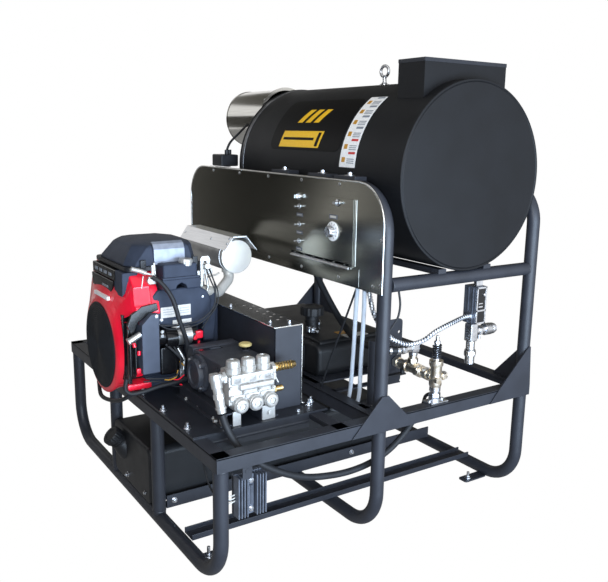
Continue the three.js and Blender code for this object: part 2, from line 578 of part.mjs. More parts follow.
// ---------- tanks ----------
function buildLowerTank() {
  const t = LOWER_TANK;
  const body = slabX(roundedRect(t.y0, t.y1, t.z0, t.z1, t.round), t.x0, t.x1);
  const c = SLANT_CAP;
  const reach = Math.SQRT1_2;
  const along = (distance) => [c.x - distance * reach, c.y, c.z + distance * reach];
  add('lower_tank', join(body, rod(along(-30), along(c.neckLen), c.neckR, 16)), POLY);
  add('lower_tank_cap', rod(along(c.neckLen + GAP), along(c.neckLen + c.capLen), c.capR, 16), POLY);
}

function buildRearTank() {
  const t = REAR_TANK;
  const f = FILLER;
  const body = slabX(roundedRect(t.y0, t.y1, DECK.top + GAP, t.z1, t.round), t.x0, t.x1);
  add('rear_tank', join(body, rod([f.x, f.y, t.z1 - 10], [f.x, f.y, f.neckTop], f.neckR, 16)), POLY);
  const cap = [[0, 0], [f.capR - 4, 0], [f.capR, 4], [f.capR, f.capTop - f.neckTop - 5], [f.capR - 6, f.capTop - f.neckTop], [0, f.capTop - f.neckTop]];
  add('rear_tank_cap', turned(cap, 'z', f.x, f.y, f.neckTop + GAP, 20), POLY);
}

// ---------- plumbing and wiring on the right side ----------
function buildUnloader() {
  const v = VALVE;
  const foot = block(v.x - 32, v.x + 32, 6, 44, DECK.top + GAP, DECK.top + 5);
  const stem = rod([v.x, v.y, DECK.top + 4], [v.x, v.y, 404], 13, 12);
  const body = rod([v.x, v.y, 400], [v.x, v.y, 482], 17, 12);
  const spring = rod([v.x, v.y, 480], [v.x, v.y, 531], 14, 12);
  const tip = rod([v.x, v.y, 529], [v.x, v.y, 548], 5, 10);
  const outlet = rod([v.x, v.y, 430], [v.x + 38, v.y, 430], 11, 12);
  const chain = rod([v.x, v.y, v.z], [v.x, 212, v.z], 13, 12);
  const riser = rod([v.x, 128, v.z], [v.x, 128, 492], 12, 12);
  const arm = rod([v.x + 4, 128, 492], [v.x - 50, 128, 492], 12, 12);
  const plate = block(662, 728, 206, 210, 366, 561);
  const ledge = block(662, 728, 206, 262, DECK.top + GAP, DECK.top + 5);
  const web = block(662, 728, 206, 210, DECK.top + GAP, 370);
  add('unloader_valve', join(foot, stem, body, spring, tip, outlet, chain, riser, arm, plate, ledge, web), BRASS);
  const grip = join(rod([v.x, 172, v.z - 13 - GAP], [v.x, 172, v.z - 28], 7, 12),
    block(v.x - 62, v.x + 8, 164, 180, v.z - 32, v.z - 26));
  add('ball_valve_handle', grip, BLACK);
}

function buildJunctionBox() {
  const b = BOX;
  const body = block(b.x0, b.x1, b.y0, b.y1, b.z0, b.z1);
  const hanger = block(b.x0 + 8, b.x1 - 8, 30, 42, b.z1 - 1, CROSS_Z - TUBE_R - GAP);
  add('junction_box', join(body, hanger), GREY);
  const z = 540;
  const tee = join(rod([852, 45, b.z0 - GAP], [852, 45, 445], 14, 12), rod([852, 45, z], [946, 45, z], 13, 12),
    rod([902, 45, z], [940, 45, z], 18, 14));
  add('flow_switch', tee, CAST);
}

const HP_HOSE = [[74.4, 116.8, 413], [80, 106, 385], [94, 94, 350], [116, 82, 318], [150, 66, 288], [215, 60, 248],
  [286, 60, 218], [360, 60, 203], [434, 60, 198], [510, 60, 207], [575, 60, 232], [630, 62, 270], [664, 66, 300],
  [680, 66, 316]];
const SUPPLY_HOSE = [[651, 128, 492], [634, 131, 493], [596, 166, 499], [606, 230, 490], [640, 320, 480],
  [668, 400, 486], [676, 470, 520], [664, 530, 590], [652, 566, 650], [650, 580, 700], [664, 584, 745]];
const CONDUIT = [[490, 75, 692], [506, 70, 630], [545, 66, 572], [590, 60, 541], [625, 54, 532], [665, 44, 540],
  [705, 38, 562], [770, 38, 580], [815, 40, 589], [838.5, 40, 590]];
const CLEAR_HOSES = {
  clear_hose_left: [[487, 121, 694], [499, 140, 650], [524, 180, 480], [541, 214, 352], [560, 262, 290],
    [600, 380, 240], [640, 440, 218]],
  clear_hose_right: [[489, 92, 692], [500, 106, 640], [522, 140, 480], [540, 170, 352], [570, 240, 290],
    [640, 390, 240], [690, 440, 218]],
};

function buildHoses() {
  add('pressure_hose', hose(HP_HOSE, 9, 28), RUBBER);
  add('supply_hose', hose(SUPPLY_HOSE, 11, 24), RUBBER);
  add('wiring_conduit', hose(CONDUIT, 7, 18), BRIGHT);
  for (const [name, points] of Object.entries(CLEAR_HOSES)) add(name, hose(points, 6, 12), CLEAR);
}

function buildRegulator() {
  const r = REGULATOR;
  const back = block(r.x0, r.x1, r.y1 - 8, r.y1, r.z0, r.z1);
  const fins = [];
  const finCount = 7;
  for (let i = 0; i < finCount; i += 1) {
    const x = r.x0 + ((r.x1 - r.x0 - 4) * i) / (finCount - 1);
    fins.push(block(x, x + 4, r.y0, r.y1 - 4, r.z0, r.z1));
  }
  const tab = block(70, 96, 14, 38, r.z1 - 4, DECK.top - DECK.rail - GAP);
  add('voltage_regulator', join(back, ...fins, tab), GREY);
}

buildLoops();
buildDeck();
buildHoops();
buildCradle();
buildLowerRails();
buildEnginePlate();
buildEngineBlock();
buildShroud();
buildFan();
buildAirCleaner();
buildExhaust();
buildDrive();
buildPumpBody();
buildPumpHead();
buildPumpRails();
buildDrum();
buildFlue();
buildLiftingEye();
buildCoil();
buildBurner();
buildPanel();
buildDoor();
buildLowerTank();
buildRearTank();
buildUnloader();
buildJunctionBox();
buildHoses();
buildRegulator();

export default machine;
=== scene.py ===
"""Looks for the skid-mounted hot-water pressure washer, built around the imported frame.

Lengths in this file are millimetres from the deck's front left corner on the floor, with +X along the
front, +Y towards the back and +Z up. place() turns them into metres in the row frame.
"""
import math
import random

import bmesh
import bpy
from mathutils import Matrix, Vector


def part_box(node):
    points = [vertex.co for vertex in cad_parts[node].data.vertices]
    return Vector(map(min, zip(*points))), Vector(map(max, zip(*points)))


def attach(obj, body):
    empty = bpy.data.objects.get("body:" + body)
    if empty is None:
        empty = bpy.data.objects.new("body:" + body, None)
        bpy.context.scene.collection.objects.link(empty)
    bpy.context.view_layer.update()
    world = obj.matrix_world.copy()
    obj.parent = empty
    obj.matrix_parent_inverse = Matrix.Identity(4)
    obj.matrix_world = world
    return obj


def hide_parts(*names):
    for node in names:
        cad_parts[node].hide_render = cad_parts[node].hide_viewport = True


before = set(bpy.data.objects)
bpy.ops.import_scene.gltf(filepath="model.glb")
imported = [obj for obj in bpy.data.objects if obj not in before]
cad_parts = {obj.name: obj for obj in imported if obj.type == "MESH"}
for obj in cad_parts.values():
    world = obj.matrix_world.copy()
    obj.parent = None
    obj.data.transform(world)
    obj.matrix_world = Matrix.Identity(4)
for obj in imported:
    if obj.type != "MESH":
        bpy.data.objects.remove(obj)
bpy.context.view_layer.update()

MM = 0.001
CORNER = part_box("deck_frame")[0]
ROOT = "frame"
SMOOTH_ANGLE = math.radians(38)
X_AXIS = Vector((1, 0, 0))
Y_AXIS = Vector((0, 1, 0))
Z_AXIS = Vector((0, 0, 1))

# ---------- driving dimensions ----------
TUBE_R = 19.05
DECK = {"length": 1075, "width": 1155, "top": 358, "rail": 38, "wall": 5}
LEFT_X, MID_X, RIGHT_X = 19.05, 497, 1056
FRONT_Y, REAR_Y = 19.05, 1135.95
HOOP_TOP = 980
CROSS_Z = 716
DRUM = {"x": 776.5, "z": 992, "r": 256, "y0": 6, "y1": 850}
PANEL = {"x": 474.4, "y0": 2, "y1": 1148, "z0": 696, "z1": 980, "corner": 110}
DOOR = {"x": 471.1, "y0": 127, "y1": 458, "z0": 748.5, "z1": 931}
CRANK = {"y": 630, "z": 487}
PUMP = {"x0": 118, "x1": 258, "y0": 178, "y1": 420, "z0": 400, "z1": 510, "shaft_y": 330, "shaft_z": 455}
GUARD = {"x0": 268, "x1": 352, "y0": 188, "y1": 822, "z0": 364.6, "top": 593}
PLATE_TOP = 364.3


def place(x, y, z):
    return Vector((CORNER.x + x * MM, CORNER.y + y * MM, z * MM))


# ---------- mesh helpers ----------
def turned_frame(direction):
    """A rotation that takes +Z to the direction."""
    return Vector(direction).normalized().to_track_quat("Z", "Y").to_matrix().to_4x4()


class Solids:
    """Closed solids gathered into one mesh, each with its own softened edges."""

    def __init__(self):
        self.mesh = bmesh.new()

    def take(self, part, bevel=0.0, segments=2):
        bmesh.ops.recalc_face_normals(part, faces=part.faces)
        if bevel > 0:
            edges = [e for e in part.edges if e.is_manifold and e.calc_face_angle(0) > math.radians(25)]
            bmesh.ops.bevel(part, geom=edges, offset=bevel, segments=segments, profile=0.6,
                            affect="EDGES", clamp_overlap=True)
        carrier = bpy.data.meshes.new("carrier")
        part.to_mesh(carrier)
        part.free()
        self.mesh.from_mesh(carrier)
        bpy.data.meshes.remove(carrier)
        return self

    def box(self, x0, x1, y0, y1, z0, z1, bevel=1.0, turn=None, segments=2):
        part = bmesh.new()
        size = Matrix.Diagonal((x1 - x0, y1 - y0, z1 - z0, 1))
        centre = Matrix.Translation(((x0 + x1) / 2, (y0 + y1) / 2, (z0 + z1) / 2))
        bmesh.ops.create_cube(part, size=1, matrix=centre @ (turn or Matrix()) @ size)
        return self.take(part, bevel, segments)

    def prism(self, outline, axis, a, b, bevel=1.0, segments=2):
        """Outline pairs are (y, z) on axis "x", (x, z) on axis "y" and (x, y) on axis "z"."""
        part = bmesh.new()
        put = {"x": lambda u, v, w: (w, u, v),
               "y": lambda u, v, w: (u, w, v),
               "z": lambda u, v, w: (u, v, w)}[axis]
        low = [part.verts.new(put(u, v, a)) for u, v in outline]
        high = [part.verts.new(put(u, v, b)) for u, v in outline]
        part.faces.new(low)
        part.faces.new(high[::-1])
        count = len(outline)
        for i in range(count):
            j = (i + 1) % count
            part.faces.new((low[j], low[i], high[i], high[j]))
        return self.take(part, bevel, segments)

    def lathe(self, profile, at, direction=(0, 0, 1), sides=32, bevel=0.0, ripple=None):
        """Profile pairs are (radius, height), from the axis out and back to it.

        ripple(angle) scales the radius.
        """
        part = bmesh.new()
        turn = Matrix.Translation(at) @ turned_frame(direction)
        rings = []
        for r, h in profile:
            if r < 1e-6:
                rings.append([part.verts.new(turn @ Vector((0, 0, h)))])
                continue
            ring = []
            for k in range(sides):
                angle = 2 * math.pi * k / sides
                reach = r * (ripple(angle) if ripple else 1)
                point = Vector((reach * math.cos(angle), reach * math.sin(angle), h))
                ring.append(part.verts.new(turn @ point))
            rings.append(ring)
        for low, high in zip(rings, rings[1:]):
            for k in range(sides):
                n = (k + 1) % sides
                corners = [low[k % len(low)], low[n % len(low)], high[n % len(high)], high[k % len(high)]]
                unique = list(dict.fromkeys(corners))
                if len(unique) > 2:
                    part.faces.new(unique)
        return self.take(part, bevel)

    def ring(self, profile, at, direction=(0, 0, 1), sides=48):
        """A closed profile of (radius, height) pairs that stays off the axis."""
        part = bmesh.new()
        turn = Matrix.Translation(at) @ turned_frame(direction)
        loops = []
        for r, h in profile:
            loop = []
            for k in range(sides):
                angle = 2 * math.pi * k / sides
                loop.append(part.verts.new(turn @ Vector((r * math.cos(angle), r * math.sin(angle), h))))
            loops.append(loop)
        for low, high in zip(loops, loops[1:] + loops[:1]):
            for k in range(sides):
                n = (k + 1) % sides
                part.faces.new((low[k], low[n], high[n], high[k]))
        return self.take(part)

    def rod(self, a, b, r, end_r=None, sides=24, chamfer=0.8):
        a, b = Vector(a), Vector(b)
        end_r = r if end_r is None else end_r
        length = (b - a).length
        c = min(chamfer, r * 0.4, end_r * 0.4, length * 0.3)
        profile = [(0, 0), (r - c, 0), (r, c), (end_r, length - c), (end_r - c, length), (0, length)]
        return self.lathe(profile, a, b - a, sides)

    def hexagon(self, at, direction, across, height, bevel=0.6):
        part = bmesh.new()
        r = across / math.sqrt(3)
        turn = Matrix.Translation(at) @ turned_frame(direction)
        bmesh.ops.create_cone(part, cap_ends=True, segments=6, radius1=r, radius2=r, depth=height,
                              matrix=turn @ Matrix.Translation((0, 0, height / 2)))
        return self.take(part, bevel)

    def bolt(self, at, direction, size=6, stud=0.0, washer=True):
        """Hex head on a washer, with the thread's end past it when stud is more than nothing."""
        at, direction = Vector(at), Vector(direction).normalized()
        if washer:
            self.rod(at, at + direction * 1.6, size * 1.25, sides=20, chamfer=0.4)
        self.hexagon(at + direction * 1.6, direction, size * 1.7, size * 0.75)
        if stud:
            start = at + direction * (1.6 + size * 0.7)
            self.rod(start, start + direction * stud, size * 0.5, sides=14)
        return self

    def dome(self, at, direction, r, height):
        profile = [(r * math.cos(t), height * math.sin(t)) for t in [i * math.pi / 10 for i in range(5)]]
        return self.lathe([(0, -0.3), (r, -0.3)] + profile + [(0, height)], at, direction, 16)

    def tube(self, points, r, sides=16, radii=None):
        """A round section carried along the points without twist, closed at both ends."""
        points = [Vector(p) for p in points]
        part = bmesh.new()
        loops = []
        side = None
        for i, point in enumerate(points):
            heading = (points[min(i + 1, len(points) - 1)] - points[max(i - 1, 0)]).normalized()
            if side is None:
                side = heading.orthogonal().normalized()
            side = (side - heading * side.dot(heading)).normalized()
            other = heading.cross(side)
            reach = radii[i] if radii else r
            loop = []
            for k in range(sides):
                angle = 2 * math.pi * k / sides
                out = side * math.cos(angle) + other * math.sin(angle)
                loop.append(part.verts.new(point + out * reach))
            loops.append(loop)
        for low, high in zip(loops, loops[1:]):
            for k in range(sides):
                n = (k + 1) % sides
                part.faces.new((low[k], low[n], high[n], high[k]))
        part.faces.new(loops[0][::-1])
        part.faces.new(loops[-1])
        return self.take(part)

    def loft(self, loops, bevel=0.0):
        """Closed loops of the same count, joined in order and capped."""
        part = bmesh.new()
        rows = [[part.verts.new(p) for p in loop] for loop in loops]
        count = len(rows[0])
        for low, high in zip(rows, rows[1:]):
            for k in range(count):
                n = (k + 1) % count
                part.faces.new((low[k], low[n], high[n], high[k]))
        part.faces.new(rows[0][::-1])
        part.faces.new(rows[-1])
        return self.take(part, bevel)

    def weld(self, at, direction, r, bead=2.2):
        """A rounded bead round a tube's joint."""
        profile = [(r - bead + bead * math.cos(t) * 1.4, bead * math.sin(t) * 1.4)
                   for t in [2 * math.pi * k / 8 for k in range(8)]]
        return self.ring([(max(radius, r - bead), h) for radius, h in profile], at, direction, 32)


def bent(corners, bend, steps=14):
    """Straight runs between corners, with each inner corner rounded by an arc."""
    points = [Vector(c) for c in corners]
    path = [points[0]]
    for before, corner, after in zip(points, points[1:], points[2:]):
        back, ahead = (before - corner).normalized(), (after - corner).normalized()
        half = back.angle(ahead) / 2
        centre = corner + (back + ahead).normalized() * (bend / math.sin(half))
        first = corner + back * (bend / math.tan(half)) - centre
        last = corner + ahead * (bend / math.tan(half)) - centre
        turn, pivot = first.angle(last), first.cross(last).normalized()
        path += [centre + Matrix.Rotation(turn * k / steps, 3, pivot) @ first for k in range(steps + 1)]
    return path + [points[-1]]


def smooth_path(points, spacing):
    """Points a fixed spacing apart along a centripetal spline through the given ones."""
    pts = [Vector(p) for p in points]
    pts = [pts[0] * 2 - pts[1]] + pts + [pts[-1] * 2 - pts[-2]]
    dense = []
    for p0, p1, p2, p3 in zip(pts, pts[1:], pts[2:], pts[3:]):
        t0 = 0.0
        t1 = t0 + math.sqrt((p1 - p0).length)
        t2 = t1 + math.sqrt((p2 - p1).length)
        t3 = t2 + math.sqrt((p3 - p2).length)
        for k in range(24):
            t = t1 + (t2 - t1) * k / 24
            a1 = p0 * ((t1 - t) / (t1 - t0)) + p1 * ((t - t0) / (t1 - t0))
            a2 = p1 * ((t2 - t) / (t2 - t1)) + p2 * ((t - t1) / (t2 - t1))
            a3 = p2 * ((t3 - t) / (t3 - t2)) + p3 * ((t - t2) / (t3 - t2))
            b1 = a1 * ((t2 - t) / (t2 - t0)) + a2 * ((t - t0) / (t2 - t0))
            b2 = a2 * ((t3 - t) / (t3 - t1)) + a3 * ((t - t1) / (t3 - t1))
            dense.append(b1 * ((t2 - t) / (t2 - t1)) + b2 * ((t - t1) / (t2 - t1)))
    dense.append(pts[-2])
    total = sum((b - a).length for a, b in zip(dense, dense[1:]))
    count = max(2, round(total / spacing))
    path, walked, target = [dense[0]], 0.0, total / count
    for a, b in zip(dense, dense[1:]):
        step = (b - a).length
        while step > 1e-9 and walked + step >= target * len(path) - 1e-6 and len(path) < count:
            path.append(a.lerp(b, (target * len(path) - walked) / step))
        walked += step
    return path + [dense[-1]]


def rounded_rect(u0, u1, v0, v1, r, steps=6):
    points = []
    for cu, cv, start in ((u1 - r, v0 + r, -90), (u1 - r, v1 - r, 0), (u0 + r, v1 - r, 90),
                          (u0 + r, v0 + r, 180)):
        for k in range(steps + 1):
            angle = math.radians(start + 90 * k / steps)
            points.append((cu + r * math.cos(angle), cv + r * math.sin(angle)))
    return points


def finish_mesh(obj):
    mesh = obj.data
    mesh.shade_smooth()
    mesh.set_sharp_from_angle(angle=SMOOTH_ANGLE)
    normals = obj.modifiers.new("normals", "WEIGHTED_NORMAL")
    normals.keep_sharp = True
    return obj


def make(name, solids, material, slot, body=ROOT, replaces=()):
    """Turns gathered solids into a piece that rides on a body."""
    for v in solids.mesh.verts:
        v.co = place(*v.co)
    mesh = bpy.data.meshes.new(name)
    solids.mesh.to_mesh(mesh)
    solids.mesh.free()
    mesh.materials.append(material)
    obj = bpy.data.objects.new(name, mesh)
    bpy.context.scene.collection.objects.link(obj)
    finish_mesh(obj)
    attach(obj, body)
    if replaces:
        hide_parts(*replaces)
    return obj


def keep(node, material, bevel=1.0):
    """A CAD node that stays, with a finish and softened edges."""
    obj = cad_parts[node]
    obj.data.materials.clear()
    obj.data.materials.append(material)
    weld = obj.modifiers.new("weld", "WELD")
    weld.merge_threshold = 0.00002
    if bevel:
        soft = obj.modifiers.new("edges", "BEVEL")
        soft.width = bevel * MM
        soft.segments = 2
        soft.limit_method = "ANGLE"
        soft.angle_limit = math.radians(40)
    return obj


def carve(obj, cutter_solids):
    """Takes the cutters' volume out of a piece and keeps the result as its mesh."""
    for v in cutter_solids.mesh.verts:
        v.co = place(*v.co)
    mesh = bpy.data.meshes.new("cutter")
    cutter_solids.mesh.to_mesh(mesh)
    cutter_solids.mesh.free()
    cutter = bpy.data.objects.new("cutter", mesh)
    bpy.context.scene.collection.objects.link(cutter)
    for old in list(obj.modifiers):
        obj.modifiers.remove(old)
    boolean = obj.modifiers.new("carve", "BOOLEAN")
    boolean.operation = "DIFFERENCE"
    boolean.solver = "MANIFOLD"
    boolean.object = cutter
    apply_modifiers(obj)
    bpy.data.objects.remove(cutter)
    bpy.data.meshes.remove(mesh)
    finish_mesh(obj)


def apply_modifiers(obj):
    bpy.context.view_layer.update()
    graph = bpy.context.evaluated_depsgraph_get()
    applied = bpy.data.meshes.new_from_object(obj.evaluated_get(graph), depsgraph=graph)
    old = obj.data
    obj.modifiers.clear()
    obj.data = applied
    bpy.data.meshes.remove(old)
    applied.name = obj.name


# ---------- materials ----------
class Finish:
    """A Principled material with procedural grain, colour variation and bump."""

    def __init__(self, name, colour, rough, metal=0.0, specular=0.5, coat=0.0, coat_rough=0.1):
        self.material = bpy.data.materials.new(name)
        self.material.use_nodes = True
        self.tree = self.material.node_tree
        self.shader = self.tree.nodes["Principled BSDF"]
        self.colour, self.rough = colour, rough
        self.shader.inputs["Base Color"].default_value = (*colour, 1)
        self.shader.inputs["Roughness"].default_value = rough
        self.shader.inputs["Metallic"].default_value = metal
        self.shader.inputs["Specular IOR Level"].default_value = specular
        self.shader.inputs["Coat Weight"].default_value = coat
        self.shader.inputs["Coat Roughness"].default_value = coat_rough
        self.coordinates = self.tree.nodes.new("ShaderNodeTexCoord")
        self.bumps = None

    def noise(self, scale, detail=3.0, stretch=(1, 1, 1)):
        mapping = self.tree.nodes.new("ShaderNodeMapping")
        mapping.inputs["Scale"].default_value = stretch
        self.tree.links.new(self.coordinates.outputs["Object"], mapping.inputs["Vector"])
        noise = self.tree.nodes.new("ShaderNodeTexNoise")
        noise.inputs["Scale"].default_value = scale
        noise.inputs["Detail"].default_value = detail
        self.tree.links.new(mapping.outputs["Vector"], noise.inputs["Vector"])
        return noise.outputs["Fac"]

    def vary_colour(self, scale, amount, stretch=(1, 1, 1), tint=None, detail=3.0):
        ramp = self.tree.nodes.new("ShaderNodeValToRGB")
        light = tint or tuple(min(1, c * (1 + amount)) for c in self.colour)
        ramp.color_ramp.elements[0].position = 0.35
        ramp.color_ramp.elements[1].position = 0.65
        ramp.color_ramp.elements[0].color = (*[c * (1 - amount) for c in self.colour], 1)
        ramp.color_ramp.elements[1].color = (*light, 1)
        self.tree.links.new(self.noise(scale, detail, stretch), ramp.inputs["Fac"])
        self.tree.links.new(ramp.outputs["Color"], self.shader.inputs["Base Color"])
        return self

    def vary_roughness(self, scale, amount, stretch=(1, 1, 1)):
        spread = self.tree.nodes.new("ShaderNodeMapRange")
        spread.inputs["To Min"].default_value = max(0.02, self.rough - amount)
        spread.inputs["To Max"].default_value = min(1, self.rough + amount)
        self.tree.links.new(self.noise(scale, 4.0, stretch), spread.inputs["Value"])
        self.tree.links.new(spread.outputs["Result"], self.shader.inputs["Roughness"])
        return self

    def bump(self, scale, strength, depth=0.0004, stretch=(1, 1, 1), detail=2.0):
        node = self.tree.nodes.new("ShaderNodeBump")
        node.inputs["Strength"].default_value = strength
        node.inputs["Distance"].default_value = depth
        self.tree.links.new(self.noise(scale, detail, stretch), node.inputs["Height"])
        if self.bumps:
            self.tree.links.new(self.bumps.outputs["Normal"], node.inputs["Normal"])
        self.tree.links.new(node.outputs["Normal"], self.shader.inputs["Normal"])
        self.bumps = node
        return self


def powder_coat():
    finish = Finish("powder_coat", (0.026, 0.0285, 0.037), 0.44, specular=0.42)
    return finish.vary_colour(14, 0.12).vary_roughness(30, 0.05).bump(900, 0.22).bump(120, 0.08).material


def drum_paint():
    finish = Finish("drum_paint", (0.0062, 0.0068, 0.0085), 0.5, specular=0.27)
    return finish.vary_colour(9, 0.15).vary_roughness(18, 0.05).bump(1300, 0.3).material


def black_paint():
    finish = Finish("black_paint", (0.016, 0.018, 0.024), 0.42, specular=0.4)
    return finish.vary_colour(20, 0.15).vary_roughness(25, 0.06).bump(700, 0.15).material


# Black plastic lightened to blue-grey: painted light of the bluish key light on the control cover's front
# face.
def lit_black_plastic():
    finish = Finish("lit_black_plastic", (0.066, 0.08, 0.115), 0.5, specular=0.35)
    return finish.vary_colour(30, 0.1).bump(1500, 0.25).material


def black_plastic():
    finish = Finish("black_plastic", (0.014, 0.015, 0.018), 0.4, specular=0.42)
    return finish.vary_colour(25, 0.12).vary_roughness(40, 0.05).bump(1400, 0.2).material


def gloss_black():
    finish = Finish("gloss_black", (0.006, 0.006, 0.007), 0.24, specular=0.35, coat=0.2)
    return finish.vary_colour(30, 0.1).bump(60, 0.03).material


def crimson_paint():
    finish = Finish("crimson_paint", (0.93, 0.01, 0.038), 0.32, specular=0.5, coat=0.35, coat_rough=0.12)
    return finish.vary_colour(12, 0.08).vary_roughness(35, 0.05).bump(260, 0.05).material


def black_poly():
    finish = Finish("black_poly", (0.011, 0.0115, 0.013), 0.46, specular=0.36)
    return finish.vary_colour(16, 0.2).vary_roughness(22, 0.07).bump(420, 0.25).material


def black_rubber():
    finish = Finish("black_rubber", (0.016, 0.017, 0.02), 0.55, specular=0.35)
    return finish.vary_colour(60, 0.15).bump(1200, 0.3).material


# The default colour is darkened and tinted olive: painted dark reflection on the control panel sheet and
# its door.
def stainless(name="stainless", stretch=(60, 0.6, 60), rough=0.18, colour=(0.31, 0.305, 0.265), smear=0.3):
    finish = Finish(name, colour, rough, metal=1.0)
    finish.vary_colour(12, 0.07, stretch, detail=5.0).vary_roughness(14, 0.05, stretch)
    grain = finish.tree.nodes.new("ShaderNodeTangent")
    grain.direction_type, grain.axis = "RADIAL", "Z"
    finish.tree.links.new(grain.outputs["Tangent"], finish.shader.inputs["Tangent"])
    finish.shader.inputs["Anisotropic"].default_value = smear
    return finish.bump(16, 0.04, 0.0002, stretch, 5.0).material


# Bright metal for the control panel's rim and for the guard lid's painted edge highlights.
def rim_metal_and_edge_highlight():
    finish = Finish("rim_metal_and_edge_highlight", (0.8, 0.8, 0.78), 0.16, metal=1.0)
    return finish.vary_roughness(60, 0.05).bump(200, 0.05).material


def zinc():
    finish = Finish("zinc", (0.7, 0.72, 0.76), 0.28, metal=1.0)
    return finish.vary_colour(90, 0.14).vary_roughness(70, 0.1).bump(500, 0.1).material


def cast_metal():
    finish = Finish("cast_metal", (0.52, 0.51, 0.49), 0.36, metal=0.6)
    return finish.vary_colour(60, 0.1).vary_roughness(50, 0.1).bump(650, 0.35, 0.0006).material


def satin_aluminium():
    finish = Finish("satin_aluminium", (0.6, 0.6, 0.6), 0.36, metal=0.9)
    return finish.vary_colour(25, 0.1).vary_roughness(40, 0.08).bump(300, 0.12).material


def cream_steel():
    finish = Finish("cream_steel", (0.6, 0.585, 0.56), 0.42, metal=0.35)
    finish.vary_colour(22, 0.08, tint=(0.62, 0.6, 0.54))
    return finish.vary_roughness(30, 0.08).bump(120, 0.1).material


def grey_metal():
    finish = Finish("grey_metal", (0.13, 0.145, 0.18), 0.42, metal=0.5)
    return finish.vary_colour(40, 0.16).vary_roughness(40, 0.08).bump(700, 0.25).material


def machined_steel():
    finish = Finish("machined_steel", (0.42, 0.42, 0.43), 0.3, metal=1.0)
    return finish.vary_colour(50, 0.1).vary_roughness(60, 0.08).bump(400, 0.08).material


ARMOUR_PITCH = 0.0082


def conduit_armour():
    """Bands dark and bright along X; the dark bands are painted shade in the grooves between the wound
    strip's turns.
    """
    finish = Finish("conduit_armour", (0.7, 0.72, 0.75), 0.32, metal=0.7)
    nodes, links = finish.tree.nodes, finish.tree.links
    groove_shade_bands = nodes.new("ShaderNodeTexWave")
    groove_shade_bands.inputs["Scale"].default_value = 2 * math.pi / (20 * ARMOUR_PITCH)
    ramp = nodes.new("ShaderNodeValToRGB")
    ramp.color_ramp.elements[0].position = 0.3
    # The dark end of the bands is painted shade for the grooves.
    ramp.color_ramp.elements[0].color = (0.09, 0.1, 0.12, 1)
    ramp.color_ramp.elements[1].position = 0.5
    ramp.color_ramp.elements[1].color = (0.86, 0.88, 0.92, 1)
    links.new(finish.coordinates.outputs["Object"], groove_shade_bands.inputs["Vector"])
    links.new(groove_shade_bands.outputs["Color"], ramp.inputs["Fac"])
    links.new(ramp.outputs["Color"], finish.shader.inputs["Base Color"])
    return finish.vary_roughness(60, 0.08).material


def brass(name="brass", colour=(0.95, 0.82, 0.62), tint=(0.99, 0.94, 0.86)):
    finish = Finish(name, colour, 0.3, metal=1.0)
    return finish.vary_colour(120, 0.14, tint=tint).vary_roughness(90, 0.1).bump(600, 0.12).material


def plain(name, colour, rough=0.45, grain=0.08):
    return Finish(name, colour, rough).vary_colour(200, grain).bump(800, 0.1).material


def clear_tube():
    finish = Finish("clear_tube", (0.5, 0.57, 0.66), 0.22, specular=0.6, coat=0.3)
    return finish.vary_colour(8, 0.1, (1, 1, 0.2), tint=(0.68, 0.76, 0.86)).bump(60, 0.05).material


def pump_black():
    finish = Finish("pump_black", (0.042, 0.046, 0.058), 0.48, specular=0.42)
    return finish.vary_colour(40, 0.15).vary_roughness(60, 0.06).bump(900, 0.35, 0.0005).material


def screen_black():
    finish = Finish("screen_black", (0.011, 0.013, 0.017), 0.6, specular=0.25)
    return finish.vary_colour(60, 0.15).bump(1400, 0.3).material


def air_black():
    finish = Finish("air_black", (0.038, 0.048, 0.074), 0.5, specular=0.14)
    return finish.vary_colour(25, 0.12).vary_roughness(40, 0.05).bump(1400, 0.2).material


def black_metal():
    finish = Finish("black_metal", (0.07, 0.07, 0.075), 0.3, metal=0.6)
    finish.vary_colour(300, 0.3, tint=(0.16, 0.16, 0.17))
    return finish.vary_roughness(80, 0.08).bump(500, 0.1).material


def patch_black():
    finish = Finish("patch_black", (0.003, 0.003, 0.0035), 0.45, specular=0.12)
    return finish.bump(60, 0.02).material


def satin_plate():
    finish = Finish("satin_plate", (0.3, 0.33, 0.4), 0.45, metal=0.5)
    return finish.vary_colour(60, 0.08).bump(400, 0.1).material


POWDER = powder_coat()
PUMP_BLACK = pump_black()
BLACK_METAL = black_metal()
SCREEN_BLACK = screen_black()
AIR_BLACK = air_black()
DRUM_PAINT = drum_paint()
BLACK = black_paint()
LIT_BLACK_PLASTIC = lit_black_plastic()
PLASTIC = black_plastic()
GLOSS = gloss_black()
RED = crimson_paint()
POLY = black_poly()
RUBBER = black_rubber()
# Darkened copy of the stainless: painted dark reflection.
STAINLESS = stainless()
STAINLESS_ROUND = stainless("stainless_round", (60, 0.6, 60), 0.16, (0.62, 0.61, 0.58), 0.0)
# Lightened, blue-tinted copy of the stainless: painted bright sheen on the muffler shield.
STAINLESS_PAINTED_SHEEN = stainless("stainless_painted_sheen", (40, 1.0, 40), 0.3, (0.76, 0.77, 0.79), 0.0)
EDGE = rim_metal_and_edge_highlight()
ZINC = zinc()
CAST = cast_metal()
ALUMINIUM = satin_aluminium()
CREAM = cream_steel()
GREY = grey_metal()
STEEL = machined_steel()
BRASS = brass()
BRASS_WARM = brass("brass_warm", (0.68, 0.48, 0.2), (0.8, 0.62, 0.32))
CLEAR = clear_tube()
WHITE = plain("white_label", (0.95, 0.96, 0.97))
PATCH = patch_black()
PLATE_BLUE = satin_plate()
ARMOUR = conduit_armour()
PALE_LABEL = plain("pale_label", (0.62, 0.6, 0.56))
YELLOW = plain("yellow_print", (1.0, 0.56, 0.01))
RED_PRINT = plain("red_print", (0.6, 0.03, 0.03))
GREY_PRINT = plain("grey_print", (0.25, 0.28, 0.33))
